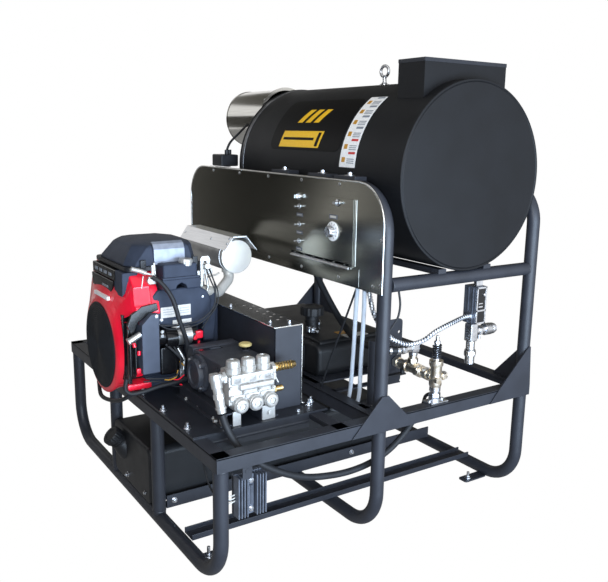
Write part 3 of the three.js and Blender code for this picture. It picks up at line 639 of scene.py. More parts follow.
CAP_YELLOW = plain("cap_yellow", (0.8, 0.66, 0.28))
AMBER = plain("amber_label", (0.55, 0.27, 0.02))


# ---------- studio ----------
CAMERA_AT = (-717.5, -1444.4, 1101.0)
CAMERA_AZIMUTH, CAMERA_DOWN, CAMERA_ROLL = 0.5826, 0.2093, 0.0161
CAMERA_LENS, CAMERA_SENSOR = 44.05, 36


def build_camera():
    az, down, roll = CAMERA_AZIMUTH, CAMERA_DOWN, CAMERA_ROLL
    ahead = Vector((math.sin(az) * math.cos(down), math.cos(az) * math.cos(down), -math.sin(down)))
    right = Vector((math.cos(az), -math.sin(az), 0))
    up = right.cross(ahead)
    side = right * math.cos(roll) + up * math.sin(roll)
    top = up * math.cos(roll) - right * math.sin(roll)
    data = bpy.data.cameras.new("camera")
    data.lens, data.sensor_width = CAMERA_LENS, CAMERA_SENSOR
    data.clip_start, data.clip_end = 0.05, 60
    camera = bpy.data.objects.new("camera", data)
    turn = Matrix((side, top, -ahead)).transposed().to_4x4()
    camera.matrix_world = Matrix.Translation(place(*CAMERA_AT)) @ turn
    bpy.context.scene.collection.objects.link(camera)
    bpy.context.scene.camera = camera


def area_light(name, at, target, size, power, colour=(1, 1, 1)):
    data = bpy.data.lights.new(name, "AREA")
    data.shape = "RECTANGLE"
    data.size, data.size_y = size
    data.energy = power
    data.color = colour
    light = bpy.data.objects.new(name, data)
    at, target = place(*at), place(*target)
    light.location = at
    light.rotation_mode = "QUATERNION"
    light.rotation_quaternion = (target - at).to_track_quat("-Z", "Y")
    bpy.context.scene.collection.objects.link(light)
    return light


def card(name, corners, level, colour=(1, 1, 1), shades=False):
    """A studio card that only shows in reflections, or that also shades the light when shades is set."""
    mesh = bpy.data.meshes.new(name)
    mesh.from_pydata([place(*corner) for corner in corners], [], [(0, 1, 2, 3)])
    material = bpy.data.materials.new(name)
    material.use_nodes = True
    tree = material.node_tree
    tree.nodes.remove(tree.nodes["Principled BSDF"])
    glow = tree.nodes.new("ShaderNodeEmission")
    glow.inputs["Color"].default_value = (*colour, 1)
    glow.inputs["Strength"].default_value = level
    tree.links.new(glow.outputs["Emission"], tree.nodes["Material Output"].inputs["Surface"])
    mesh.materials.append(material)
    obj = bpy.data.objects.new(name, mesh)
    bpy.context.scene.collection.objects.link(obj)
    obj.visible_camera = obj.visible_transmission = False
    obj.visible_diffuse = obj.visible_shadow = shades


def upright(x, y0, y1, z0, z1):
    """Corners of a card that stands across X."""
    return [(x, y0, z0), (x, y1, z0), (x, y1, z1), (x, y0, z1)]


def level_card(z, x0, x1, y0, y1):
    """Corners of a card that lies level, overhead or underfoot."""
    return [(x0, y0, z), (x1, y0, z), (x1, y1, z), (x0, y1, z)]


WARM = (1.0, 0.97, 0.86)
STREAK = [(-985, 2156, -100), (-985, 2674, -100), (-985, 2218, 900), (-985, 2019, 900)]
REAR_WALL = [(-200, 4200, -100), (3400, 4200, -100), (3400, 4200, 1750), (-200, 4200, 1750)]


def build_studio():
    scene = bpy.context.scene
    scene.view_settings.view_transform = "Standard"
    world = bpy.data.worlds.new("studio")
    world.use_nodes = True
    sky = world.node_tree.nodes["Background"]
    sky.inputs["Color"].default_value = (1.0, 1.0, 1.0, 1)
    sky.inputs["Strength"].default_value = 1.0
    scene.world = world
    area_light("key", (200, -2400, 500), (450, 100, 450), (3.0, 1.6), 152, (0.62, 0.79, 1.0))
    area_light("fill", (-1000, -1500, 1700), (600, 400, 900), (1.2, 1.2), 26)
    area_light("top", (300, 300, 2500), (500, 500, 700), (1.5, 1.5), 6)
    card("left_flag", upright(-1450, -3000, 1500, -400, 2800), 0.03, WARM, shades=True)
    card("low_flag", upright(-1450, 1500, 5200, -400, 640), 0.03, WARM, shades=True)
    card("right_flag", upright(3400, -1300, 4200, -400, 2800), 0.16, WARM, shades=True)
    card("rear_flag", REAR_WALL, 0.12, WARM, shades=True)
    card("roof_flag", level_card(2700, -1600, 3400, -700, 4200), 0.1, WARM, shades=True)
    card("floor_flag", level_card(-25, -1700, 3400, -1100, 4200), 0.3, shades=True)
    card("dark_card", upright(-1000, 1500, 5200, -100, 1500), 0.012, WARM)
    card("left_band", upright(-995, 3650, 5200, -100, 1500), 0.045, WARM)
    card("strip_card", STREAK, 0.95)
    card("right_card", upright(-990, 1550, 2120, -100, 1500), 0.2)


# ---------- tube frame ----------
LOOP_BEND, HOOP_BEND = 115, 112
HOOP_TABS = (186, 316, 520)
RAIL_UNDER = DECK["top"] - DECK["rail"]


def frame_loop(solids, x):
    corners = [(x, FRONT_Y, RAIL_UNDER + 1), (x, FRONT_Y, TUBE_R), (x, REAR_Y, TUBE_R),
               (x, REAR_Y, RAIL_UNDER + 1)]
    solids.tube(bent(corners, LOOP_BEND), TUBE_R, 28)
    for y in (FRONT_Y, REAR_Y):
        solids.weld((x, y, RAIL_UNDER - 1), Z_AXIS, TUBE_R)
    return solids


def tab(solids, x0, x1, y0, y1, hole_x, hole_y):
    outline = rounded_rect(x0, x1, y0, y1, 8)
    return solids.prism(outline, "z", 0, 5, 0.8).rod((hole_x, hole_y, 5), (hole_x, hole_y, 6), 11)


def build_loops():
    left = frame_loop(Solids(), LEFT_X)
    for y in (408, 745):
        left.tube([(LEFT_X, y, TUBE_R), (LEFT_X, y, 170), (LEFT_X, y, RAIL_UNDER + 1)], TUBE_R, 28)
        left.weld((LEFT_X, y, RAIL_UNDER - 1), Z_AXIS, TUBE_R)
        left.weld((LEFT_X, y, 2 * TUBE_R + 1), Z_AXIS, TUBE_R)
    tab(left, 24, 84, 145, 190, 57, 167)
    make("left_foot_loop", left, POWDER, "black_powder_coat", replaces=["left_loop"])
    middle = frame_loop(Solids(), MID_X)
    make("middle_foot_loop", middle, POWDER, "black_powder_coat", replaces=["middle_loop"])
    right = tab(frame_loop(Solids(), RIGHT_X), 956, 1050, 124, 160, 980, 140)
    make("right_foot_loop", right, POWDER, "black_powder_coat", replaces=["right_loop"])
    bolts = Solids().bolt((57, 167, 5), Z_AXIS, 9, 22).bolt((980, 140, 5), Z_AXIS, 9, 14)
    make("anchor_bolts", bolts, ZINC, "zinc_plate")


def angle_rail(solids, x0, x1, y0, y1, leg):
    """Angle iron with its flat on top and its upright leg on the side that leg names."""
    wall, top = DECK["wall"], DECK["top"]
    solids.box(x0, x1, y0, y1, top - wall, top, 0.9)
    sides = {"-x": (x0, x0 + wall, y0, y1), "+x": (x1 - wall, x1, y0, y1),
             "-y": (x0, x1, y0, y0 + wall), "+y": (x0, x1, y1 - wall, y1)}
    lx0, lx1, ly0, ly1 = sides[leg]
    solids.box(lx0, lx1, ly0, ly1, RAIL_UNDER, top - 0.5, 0.9)


def build_deck():
    length, width, rail = DECK["length"], DECK["width"], DECK["rail"]
    deck = Solids()
    angle_rail(deck, 0, length, 0, rail, "-y")
    angle_rail(deck, 0, length, width - rail, width, "+y")
    angle_rail(deck, 0, rail, 1, width - 1, "-x")
    angle_rail(deck, length - rail, length, 1, width - 1, "+x")
    angle_rail(deck, MID_X - rail / 2, MID_X + rail / 2, 2, width - 2, "-x")
    angle_rail(deck, 345, 345 + rail, 2, width - 2, "+x")
    deck.box(MID_X, 830, 330, 900, 353, 358, 0.8).box(508, 728, 238, 262, 353, 358, 0.8)
    deck.box(516, 830, 885, 900, 325, 354, 0.8)
    deck.box(MID_X, 560, 82, 122, 353, 358, 0.8)
    deck.rod((538, 102, 355), (538, 102, 545), 17)
    deck.weld((538, 102, 359), Z_AXIS, 17)
    for x, y in ((LEFT_X, FRONT_Y), (RIGHT_X, FRONT_Y), (LEFT_X, REAR_Y), (RIGHT_X, REAR_Y)):
        deck.box(x - 17, x + 17, y - 17, y + 17, RAIL_UNDER, RAIL_UNDER + 4, 0.6)
    make("deck_rails", deck, POWDER, "black_powder_coat", replaces=["deck_frame"])


def gusset_plate(solids, outline, y0, y1):
    solids.prism(outline, "y", y0, y1, 0.6)


def build_hoops():
    foot, crown = DECK["top"], HOOP_TOP - TUBE_R
    middle_plate = [(390, 321.5), (608, 321.5), (MID_X + 11, 421), (MID_X - 11, 421)]
    rear_plate = [(390, 321.5), (608, 321.5), (MID_X + 11, 452), (MID_X - 11, 452)]
    right_plate = [(900, 321.5), (1071, 321.5), (1071, 352), (1062, 476), (1054, 476), (934, 358)]
    for name, x, front, rear, node in (
            ("middle_hoop_tube", MID_X, middle_plate, rear_plate, "middle_hoop"),
            ("right_hoop_tube", RIGHT_X, right_plate, right_plate, "right_hoop")):
        corners = [(x, FRONT_Y, foot), (x, FRONT_Y, crown), (x, REAR_Y, crown), (x, REAR_Y, foot)]
        hoop = Solids().tube(bent(corners, HOOP_BEND), TUBE_R, 28)
        gusset_plate(hoop, front, -4.2, -0.2)
        gusset_plate(hoop, rear, 1155.2, 1159.2)
        for y in (FRONT_Y, REAR_Y):
            hoop.weld((x, y, foot + 1), Z_AXIS, TUBE_R)
        if x == RIGHT_X:
            side_plate = [(FRONT_Y, 357), (134, 357), (FRONT_Y, 480)]
            hoop.prism(side_plate, "x", x - 2, x + 2, 0.6)
            hoop.prism([(FRONT_Y + REAR_Y - a, h) for a, h in reversed(side_plate)], "x", x - 2, x + 2, 0.6)
        if x == MID_X:
            for y in HOOP_TABS:
                hoop.box(480, 520, y - 48, y + 48, HOOP_TOP - 2, HOOP_TOP + 10, 2)
        make(name, hoop, POWDER, "black_powder_coat", replaces=[node])
    bolts = Solids()
    for y in HOOP_TABS:
        bolts.rod((500, y, HOOP_TOP + 10), (500, y, HOOP_TOP + 12), 15)
        bolts.bolt((500, y, HOOP_TOP + 11.5), Z_AXIS, 7, 2)
    make("hoop_bolts", bolts, ZINC, "zinc_plate")


def build_cradle():
    cradle = Solids()
    x0, x1 = MID_X + TUBE_R - 3, RIGHT_X - TUBE_R + 3
    for y in (FRONT_Y, REAR_Y):
        cradle.tube([(x0, y, CROSS_Z), ((x0 + x1) / 2, y, CROSS_Z), (x1, y, CROSS_Z)], TUBE_R, 28)
        cradle.weld((MID_X + TUBE_R, y, CROSS_Z), X_AXIS, TUBE_R)
        cradle.weld((RIGHT_X - TUBE_R, y, CROSS_Z), X_AXIS, TUBE_R)
    for x in (DRUM["x"] - 86, DRUM["x"] + 86):
        cradle.box(x - 14, x + 14, 10, 1144, 729, 745, 0.8)
    make("drum_cradle_tubes", cradle, POWDER, "black_powder_coat", replaces=["drum_cradle"])


def build_lower_rails():
    for node in ("lower_rail", "tank_rail_front", "tank_rail_rear"):
        keep(node, POWDER, 0.8)


def build_plate():
    plate = Solids().box(0.5, 403, 129, 900, 358.3, PLATE_TOP, 0.8)
    plate.box(0.5, 342, 127, 133, 322, 362, 1.4)
    plate.tube([(342, 131, 341), (190, 131, 341), (42, 131, 341)], 6, 10)
    make("engine_bed", plate, BLACK, "black_paint", replaces=["engine_plate"])
    bolts = Solids()
    for x, y in ((14, 495), (10, 339), (14, 192), (390, 194), (120, 840), (345, 860)):
        bolts.bolt((x, y, PLATE_TOP), Z_AXIS, 8, 9)
    for x, y in ((320, 149), (102, 311), (250, 200)):
        bolts.bolt((x, y, PLATE_TOP), Z_AXIS, 6)
    make("plate_bolts", bolts, ZINC, "zinc_plate")


# ---------- heater ----------
def drum_point(y, angle, lift=0.6):
    """A point on the drum's left side, angle degrees above the horizontal."""
    reach = DRUM["r"] + lift
    turn = math.radians(angle)
    return (DRUM["x"] - reach * math.cos(turn), y, DRUM["z"] + reach * math.sin(turn))


def wrap(solids, y0, y1, low, high, lift, corner=0.0, lean=0.0, thickness=0.5, rows=14):
    """A thin label wrapped on the drum between two angles. lean shifts it in Y as it rises."""
    arc = math.radians(high - low) * DRUM["r"]
    inner, outer = [], []
    for i in range(rows + 1):
        share = (1 - math.cos(math.pi * i / rows)) / 2
        from_end = min(share, 1 - share) * arc
        inset = corner - math.sqrt(max(0.0,
                                       corner ** 2 - max(0.0, corner - from_end) ** 2)) if corner else 0
        angle = low + (high - low) * share
        a, b = y0 + inset + lean * share, y1 - inset + lean * share
        columns = [a + (b - a) * k / 6 for k in range(7)]
        inner.append([Vector(drum_point(y, angle, lift)) for y in columns])
        outer.append([Vector(drum_point(y, angle, lift + thickness)) for y in columns])
    part = bmesh.new()
    top = [[part.verts.new(p) for p in row] for row in outer]
    bottom = [[part.verts.new(p) for p in row] for row in inner]
    for grid in (top, bottom):
        for low_row, high_row in zip(grid, grid[1:]):
            for k in range(6):
                part.faces.new((low_row[k], low_row[k + 1], high_row[k + 1], high_row[k]))
    rim_top = top[0] + [r[-1] for r in top[1:]] + top[-1][-2::-1] + [r[0] for r in top[-2:0:-1]]
    rim_low = bottom[0] + [r[-1] for r in bottom[1:]] + bottom[-1][-2::-1] + [r[0] for r in bottom[-2:0:-1]]
    for k in range(len(rim_top)):
        n = (k + 1) % len(rim_top)
        part.faces.new((rim_top[k], rim_top[n], rim_low[n], rim_low[k]))
    return solids.take(part)


def build_drum():
    d = DRUM
    length, inner = d["y1"] - d["y0"], d["r"] - 4
    bead = [(d["r"] + 3.4 * math.sin(t),
             length - 7 - 6 * math.cos(t)) for t in [k * math.pi / 8 for k in range(9)]]
    profile = [(0, length - 4), (inner, length - 4), (inner, 0), (d["r"], 0), (d["r"], 3), *bead,
               (d["r"] - 3, length), (0, length)]
    shell = make("drum_barrel", Solids().lathe(profile, (d["x"], d["y0"], d["z"]), Y_AXIS, 128), DRUM_PAINT,
                 "black_paint", replaces=["drum_shell"])
    cut = Solids().box(640, 896, 51, 133, 1150, 1320, 0)
    cut.rod((708, 830, 1149), (708, 870, 1149), 58)
    carve(shell, cut)
    cover_profile = [(0, 5.2), (d["r"] - 9, 5.2), (d["r"] - 7, 3.6), (d["r"] - 5, 5.2), (d["r"] - 1, 4.8),
                     (d["r"] + 0.4, 3.2), (d["r"] + 0.4, 0), (0, 0)]
    cover = Solids().lathe(cover_profile, (d["x"], 5.7, d["z"]), -Y_AXIS, 128)
    make("drum_end_cover", cover, DRUM_PAINT, "black_paint", replaces=["drum_front_cover"])
    band = Solids().ring([(d["r"] - 1, 822), (d["r"] + 1.6, 823), (d["r"] + 1.6, 842), (d["r"] - 1, 843)],
                         (d["x"], 0, d["z"]), Y_AXIS, 128)
    make("drum_rear_band", band, BLACK_METAL, "black_paint")
    rear = Solids()
    for k in range(10):
        turn = 2 * math.pi * (k + 0.5) / 10
        rear.bolt((d["x"] + 238 * math.cos(turn), d["y1"], d["z"] + 238 * math.sin(turn)), Y_AXIS, 5)
    make("drum_rear_bolts", rear, ZINC, "zinc_plate")


def build_decals():
    patch = wrap(Solids(), 278, 658, 13, 54, 0.4, corner=26, rows=24)
    make("drum_patch", patch, PATCH, "black_plastic")
    marks = Solids()
    for k in range(3):
        wrap(marks, 432 + 44 * k, 458 + 44 * k, 33, 44, 1.0, lean=26 - 58, rows=8)
    wrap(marks, 386, 604, 15, 26.5, 1.0, lean=-8, rows=8)
    make("drum_marks", marks, YELLOW, "yellow_plastic")
    inlay = wrap(Solids(), 420, 588, 20, 21.8, 1.6, rows=4)
    wrap(inlay, 394, 408, 16, 25.5, 1.6, lean=-6, rows=6)
    make("drum_mark_lines", inlay, PATCH, "black_plastic")
    strip = wrap(Solids(), 195, 267, 4, 55, 0.4, rows=24)
    make("drum_strip", strip, WHITE, "yellow_plastic")
    red, grey, amber = Solids(), Solids(), Solids()
    for k in range(6):
        low = 6.5 + 8.2 * k
        header = red if k < 2 else grey
        wrap(header, 202, 232, low + 5.6, low + 7, 1.0, rows=2)
        for line in range(3):
            wrap(grey, 202, 234, low + 1.2 * line, low + 0.5 + 1.2 * line, 1.0, rows=1)
        wrap(amber, 243, 258, low + 0.6, low + 3.6, 1.0, rows=3)
    make("drum_strip_red", red, RED_PRINT, "red_paint")
    make("drum_strip_grey", grey, GREY_PRINT, "grey_metal")
    make("drum_strip_amber", amber, AMBER, "yellow_plastic")


def build_flue():
    x0, x1, y0, y1, wall = 619, 917, 40, 144, 3
    flue = Solids()
    flue.box(x0, x1, y0, y1, 1150, 1295, 0)
    obj = make("flue_chimney", flue, DRUM_PAINT, "black_paint", replaces=["flue_box"])
    cut = Solids().box(x0 + wall, x1 - wall, y0 + wall, y1 - wall, 1100, 1300, 0)
    cut.rod((DRUM["x"], 0, DRUM["z"]), (DRUM["x"], 300, DRUM["z"]), DRUM["r"] + 0.4, sides=128)
    carve(obj, cut)
    lip = Solids()
    for a in ((x0 - 1, x1 + 1, y0 - 1, y0 + 2), (x0 - 1, x1 + 1, y1 - 2, y1 + 1),
              (x0 - 1, x0 + 2, y0 + 1, y1 - 1), (x1 - 2, x1 + 1, y0 + 1, y1 - 1)):
        lip.box(*a, 1286, 1296, 0.8)
    make("flue_lip", lip, BLACK, "black_paint")


def build_eye():
    x, y, ring_z, twist = DRUM["x"], 395, 1288.5, 0.15
    eye = Solids()
    facing = Vector((math.cos(twist), math.sin(twist), 0))
    loop = [(16 + 4.5 * math.cos(t), 4.5 * math.sin(t)) for t in [2 * math.pi * k / 14 for k in range(14)]]
    eye.ring(loop, (x, y, ring_z), facing, 40)
    eye.lathe([(0, 0), (14, 0), (14, 3), (9, 5), (6.4, 9), (6, 22), (7.5, 26), (0, 27)], (x, y, 1247.6),
              Z_AXIS, 28)
    make("lifting_ring", eye, ZINC, "zinc_plate", replaces=["lifting_eye"])


def build_burner():
    x, z, r, y0, y1 = 708, 1149, 100, 850, 1120
    length = y1 - y0
    shell = [(r - 3, 1), (r + 7, 1), (r + 7, 4), (r, 6), (r, length - 12), (r + 1.6, length - 10),
             (r + 1.6, length - 6), (r, length - 4), (r - 3, length), (34, length), (34, length - 58),
             (38, length - 58), (38, length - 4), (r - 3, length - 4)]
    can = Solids().ring(shell, (x, y0, z), Y_AXIS, 96)
    can.lathe([(0, length - 60), (37, length - 60), (37, length - 56), (0, length - 56)], (x, y0, z),
              Y_AXIS, 64)
    hub = Vector((x, y1 + 0.5, z))
    for k in range(14):
        turn = 2 * math.pi * k / 14
        out = Vector((math.cos(turn), 0, math.sin(turn)))
        can.tube([hub + out * 48, hub + out * 86], 2.2, 8)
    make("burner_can", can, STAINLESS_ROUND, "stainless_sheet", replaces=["burner_housing"])
    bolts = Solids()
    for turn in (2.5, 3.4, 4.3):
        out = Vector((math.cos(turn), 0, math.sin(turn)))
        bolts.bolt(Vector((x, y0 + 5, z)) + out * (r + 3), Y_AXIS, 4)
    make("burner_bolts", bolts, ZINC, "zinc_plate")
    box = Solids().box(466, 532, 880, 953, 984, 1024, 5)
    box.rod((486, 880, 1024), (486, 880, 1040), 7).rod((515, 915, 1024), (515, 915, 1040), 7)
    box.box(500, 512, 900, 930, 981, 1000, 1)
    make("ignition_box", box, PLASTIC, "grey_metal")
    lead = smooth_path([(486, 880, 1038), (500, 884, 1062), (560, 920, 1100), (612, 960, 1128)], 4)
    make("ignition_lead", Solids().tube(lead, 4, 12), RUBBER, "black_rubber")


# ---------- control panel ----------
def panel_outline(inset=0.0):
    p = PANEL
    y0, y1, z0, z1 = p["y0"] + inset, p["y1"] - inset, p["z0"] + inset, p["z1"] - inset
    r = p["corner"] - inset
    outline = [(y0, z0), (y1, z0)]
    for cy, start in ((y1 - r, 0), (y0 + r, 90)):
        for k in range(13):
            turn = math.radians(start + 90 * k / 12)
            outline.append((cy + r * math.cos(turn), z1 - r + r * math.sin(turn)))
    return outline


def build_panel():
    p, d = PANEL, DOOR
    sheet = Solids().prism(panel_outline(), "x", p["x"], p["x"] + 3, 0.5)
    obj = make("panel_sheet", sheet, STAINLESS, "stainless_sheet", replaces=["control_panel"])
    carve(obj, Solids().box(p["x"] - 5, p["x"] + 8, d["y0"] + 8, d["y1"] - 8, d["z0"] + 6, d["z1"] - 8, 0))
    rim = panel_outline(1.2)
    run = [Vector((p["x"] + 0.6, y, z)) for y, z in rim[1:] + [rim[0]]]
    edge = Solids().tube(run, 2.6, 10)
    edge.box(p["x"] - 1.4, p["x"] + 0.4, 117, 124, d["z0"] + 4, d["z1"], 0.5)
    edge.box(p["x"] - 0.5, p["x"] + 0.2, 100, 101.6, p["z0"] + 4, p["z0"] + 52, 0.2)
    make("panel_rim", edge, EDGE, "stainless_sheet")
    screws = Solids()
    spots = [(y, 968) for y in (959, 766, 578, 387, 198)] + [(y, 713) for y in (1080, 760, 570, 380, 193,
                                                                                40)]
    spots += [(10, 838), (10, 720), (1140, 838)]
    for y, z in spots:
        screws.lathe([(0, -0.4), (5, -0.4), (5, 0.5), (3.4, 2), (0, 2.4)], (p["x"], y, z), -X_AXIS, 18)
    make("panel_screws", screws, ZINC, "zinc_plate")


def build_door():
    d = DOOR
    leaf = Solids().box(d["x"], d["x"] + 3, d["y0"], d["y1"], d["z0"], d["z1"], 0.5)
    leaf.box(d["x"] + 2.8, d["x"] + 3.2, d["y0"] + 20, d["y1"] - 20, d["z0"] + 20, d["z1"] - 20, 0.1)
    make("door_leaf", leaf, STAINLESS, "stainless_sheet", body="door", replaces=["control_door"])
    hinge = Solids()
    knuckles = 12
    for k in range(knuckles):
        y = 142 + 291 * k / knuckles
        hinge.rod((469.5, y + 0.4, 744), (469.5, y + 291 / knuckles - 0.4, 744), 3.5, sides=16, chamfer=0.6)
    hinge.box(d["x"], d["x"] + 1.2, 142, 433, 744, d["z0"] + 8, 0.3)
    for k in range(6):
        hinge.dome((d["x"], 162 + 50 * k, d["z0"] + 4), -X_AXIS, 2.4, 1.4)
    make("door_hinge", hinge, ALUMINIUM, "stainless_sheet", body="door")
    plates = Solids()
    for z in (866, 814, 765):
        plates.box(d["x"] - 0.7, d["x"] + 0.1, 373, 405, z - 5, z + 5, 0.2)
    plates.box(d["x"] - 0.7, d["x"] + 0.1, 200, 238, 871, 883, 0.2)
    make("door_label_plates", plates, GREY, "grey_metal", body="door")
    lines = Solids()
    for z in (866, 814, 765):
        lines.box(d["x"] - 1.0, d["x"] - 0.6, 377, 401, z - 1, z + 1, 0.1)
    lines.box(d["x"] - 1.0, d["x"] - 0.6, 205, 233, 874, 880, 0.1)
    make("door_label_lines", lines, PALE_LABEL, "grey_metal", body="door")
    nuts = Solids()
    for z in (891, 838, 789):
        nuts.hexagon((d["x"], 391, z), -X_AXIS, 15, 1.3, 0.3)
    make("switch_nuts", nuts, ZINC, "zinc_plate", body="door")
    face = d["x"]
    for name, body, z, node in (("toggle_upper", "upper_switch", 891, "switch_upper"),
                                ("toggle_middle", "middle_switch", 838, "switch_middle"),
                                ("toggle_lower", "lower_switch", 789, "switch_lower")):
        bat = Solids().lathe([(0, 3), (3.8, 3), (4.2, 4.6), (3.8, 6.6), (2.0, 7.4), (2.1, 10), (2.9, 14.6),
                              (2.7, 16.6),
                              (1.4, 17.6), (0, 17.8)], (face, 391, z), -X_AXIS, 20)
        make(name, bat, ZINC, "zinc_plate", body=body, replaces=[node])
    skirt = Solids().lathe([(0, 0.4), (26.6, 0.4), (27.4, 1.6), (26.8, 3.6), (24, 4.6), (0, 5.2)],
                           (face, 219, 837), -X_AXIS, 64)
    make("dial_skirt", skirt, WHITE, "zinc_plate", body="dial")
    dial = Solids().lathe([(0, 5.4), (16.5, 5.4), (16, 9), (14.5, 18.6), (13.2, 19.8), (0, 20)],
                          (face, 219, 837), -X_AXIS, 72,
               ripple=lambda t: 1 + 0.03 * math.cos(18 * t))
    make("dial_knob", dial, ZINC, "zinc_plate", body="dial", replaces=["thermostat_dial"])
    ticks = Solids()
    for k in range(11):
        turn = math.radians(-150 + 30 * k)
        out = Vector((0, math.sin(turn), math.cos(turn)))
        at = Vector((face - 4.8, 219, 837))
        ticks.tube([at + out * 19, at + out * 24], 0.7, 6)
    ticks.tube([Vector((face - 20, 219, 838)), Vector((face - 20, 219, 850))], 0.9, 6)
    make("dial_ticks", ticks, GLOSS, "black_plastic", body="dial")
    key = Solids().lathe([(0, 0.4), (9.8, 0.4), (9.8, 5), (8.6, 7), (5, 7.4), (0, 7.4)], (face, 391, 920),
                         -X_AXIS, 32)
    key.box(face - 19, face - 7, 389.8, 392.2, 915, 925, 0.6)
    make("ignition_key", key, ZINC, "zinc_plate", body="key", replaces=["key_switch"])
    latch = Solids().lathe([(0, 0.4), (9.8, 0.4), (9.6, 3), (7, 4.6), (4.6, 5), (4.4, 13), (0, 13.6)],
                           (face, 198, 917), -X_AXIS, 32)
    latch.box(face - 14, face - 10, 190, 206, 914.4, 919.6, 0.8)
    make("latch_turn_button", latch, ZINC, "zinc_plate", body="latch", replaces=["door_latch"])


# ---------- tanks ----------
def ribbed_cap(solids, at, direction, r, height, ribs=20):
    profile = [(0, 0), (r - 1.6, 0), (r, 1.6), (r, height - 4), (r - 3.5, height), (r * 0.6, height),
               (r * 0.55, height - 1.5), (0, height - 1.5)]
    return solids.lathe(profile, at, direction, ribs * 6,
                        ripple=lambda t: 1 - 0.03 * (math.cos(ribs * t) > 0.2))


def build_lower_tank():
    tank = Solids()
    outline = rounded_rect(430, 724, 43, 215, 22, 8)
    tank.prism(outline, "x", 2, 858, 12, 4)
    for x in (180, 360, 540, 720):
        tank.prism(rounded_rect(428.6, 725.4, 42.2, 216.2, 22, 8), "x", x, x + 34, 3)
    reach = math.sqrt(0.5)
    base = Vector((-3, 648, 162))
    along = Vector((-reach, 0, reach))
    tank.lathe([(0, -34), (38, -34), (33, -12), (27, 4), (25, 8), (25, 25.5), (0, 25.5)], base, along, 48)
    for h in (12, 19):
        tank.ring([(24, h - 1.6), (26.8, h - 1.6), (26.8, h + 1.6), (24, h + 1.6)], base, along, 48)
    make("lower_tank_body", tank, POLY, "black_poly", replaces=["lower_tank"])
    cap = ribbed_cap(Solids(), base + along * 26.4, along, 30, 21.6)
    make("lower_tank_lid", cap, POLY, "black_poly", body="lower_cap", replaces=["lower_tank_cap"])
    strap = Solids().box(34, 60, 404, 430, 40, 44, 0.5).box(34, 60, 724, 768, 40, 44, 0.5)
    make("tank_straps", strap, POWDER, "black_powder_coat")
    bolts = Solids().bolt((40, 600, 41), -X_AXIS, 7, 4).bolt((2, 610, 70), -X_AXIS, 7, 4).bolt((2, 470, 70),
                                                                                               -X_AXIS, 5)
    bolts.bolt((64, 404, 60), -Y_AXIS, 7, 6).bolt((700, 404, 60), -Y_AXIS, 7, 6)
    make("tank_bolts", bolts, ZINC, "zinc_plate")


def build_rear_tank():
    tank = Solids()
    tank.prism(rounded_rect(362, 880, 358.3, 462, 26, 8), "x", 530, 815, 14, 4)
    tank.prism(rounded_rect(380, 860, 440, 470, 12, 6), "x", 548, 797, 6, 3)
    tank.lathe([(0, -16), (34, -16), (28, 0), (23, 6), (22, 20), (22, 53), (0, 53)], (600, 505, 470),
               Z_AXIS, 48)
    tank.ring([(21, 30), (25, 30), (25, 35), (21, 35)], (600, 505, 470), Z_AXIS, 48)
    tank.box(526, 534, 440, 560, 372, 446, 5)
    tank.box(526, 534, 600, 820, 372, 446, 5)
    make("rear_tank_body", tank, POLY, "black_poly", replaces=["rear_tank"])
    cap = ribbed_cap(Solids(), (600, 505, 524.4), Z_AXIS, 39, 27.4, 16)
    make("rear_tank_lid", cap, POLY, "black_poly", body="rear_cap", replaces=["rear_tank_cap"])
    fitting = Solids().rod((566, 470, 478), (566, 470, 496), 8).rod((566, 474, 490), (566, 420, 490), 4.5)
    fitting.hexagon((566, 452, 490), -Y_AXIS, 17, 10).rod((660, 560, 470), (660, 560, 486), 9)
    fitting.hexagon((660, 560, 472), Z_AXIS, 22, 7)
    make("rear_tank_fittings", fitting, ZINC, "zinc_plate")
    labels = Solids().box(650, 720, 420, 450, 470, 471, 0.2)
    make("rear_tank_amber_label", labels, AMBER, "yellow_plastic")
    white = Solids().box(650, 735, 378, 412, 470, 471, 0.2)
    make("rear_tank_white_label", white, PALE_LABEL, "yellow_plastic")


# ---------- hoses, valves and boxes on the right ----------
HP_HOSE = [(74.4, 116.8, 413), (80, 106, 385), (94, 94, 350), (116, 82, 318), (150, 66, 288),
           (215, 60, 248),
           (286, 60, 218), (360, 60, 203), (434, 60, 198), (510, 60, 207), (575, 60, 232), (630, 62, 270),
           (664, 66, 300), (680, 66, 316)]
SUPPLY_HOSE = [(651, 128, 492), (634, 131, 493), (596, 166, 499), (606, 230, 490), (640, 320, 480),
               (668, 400, 486), (676, 470, 520), (664, 530, 590), (652, 566, 650), (650, 580, 700),
               (664, 584, 745)]
CONDUIT = [(490, 75, 692), (506, 70, 630), (545, 66, 572), (590, 60, 541), (625, 54, 532), (665, 44, 540),
           (705, 38, 562), (770, 38, 580), (815, 40, 589), (838.5, 40, 590)]
CLEAR_LEFT = [(487, 121, 694), (499, 140, 650), (524, 180, 480), (541, 214, 352), (560, 262, 290),
              (600, 380, 240), (640, 440, 218)]
CLEAR_RIGHT = [(489, 92, 692), (500, 106, 640), (522, 140, 480), (540, 170, 352), (570, 240, 290),
               (640, 390, 240), (690, 440, 218)]


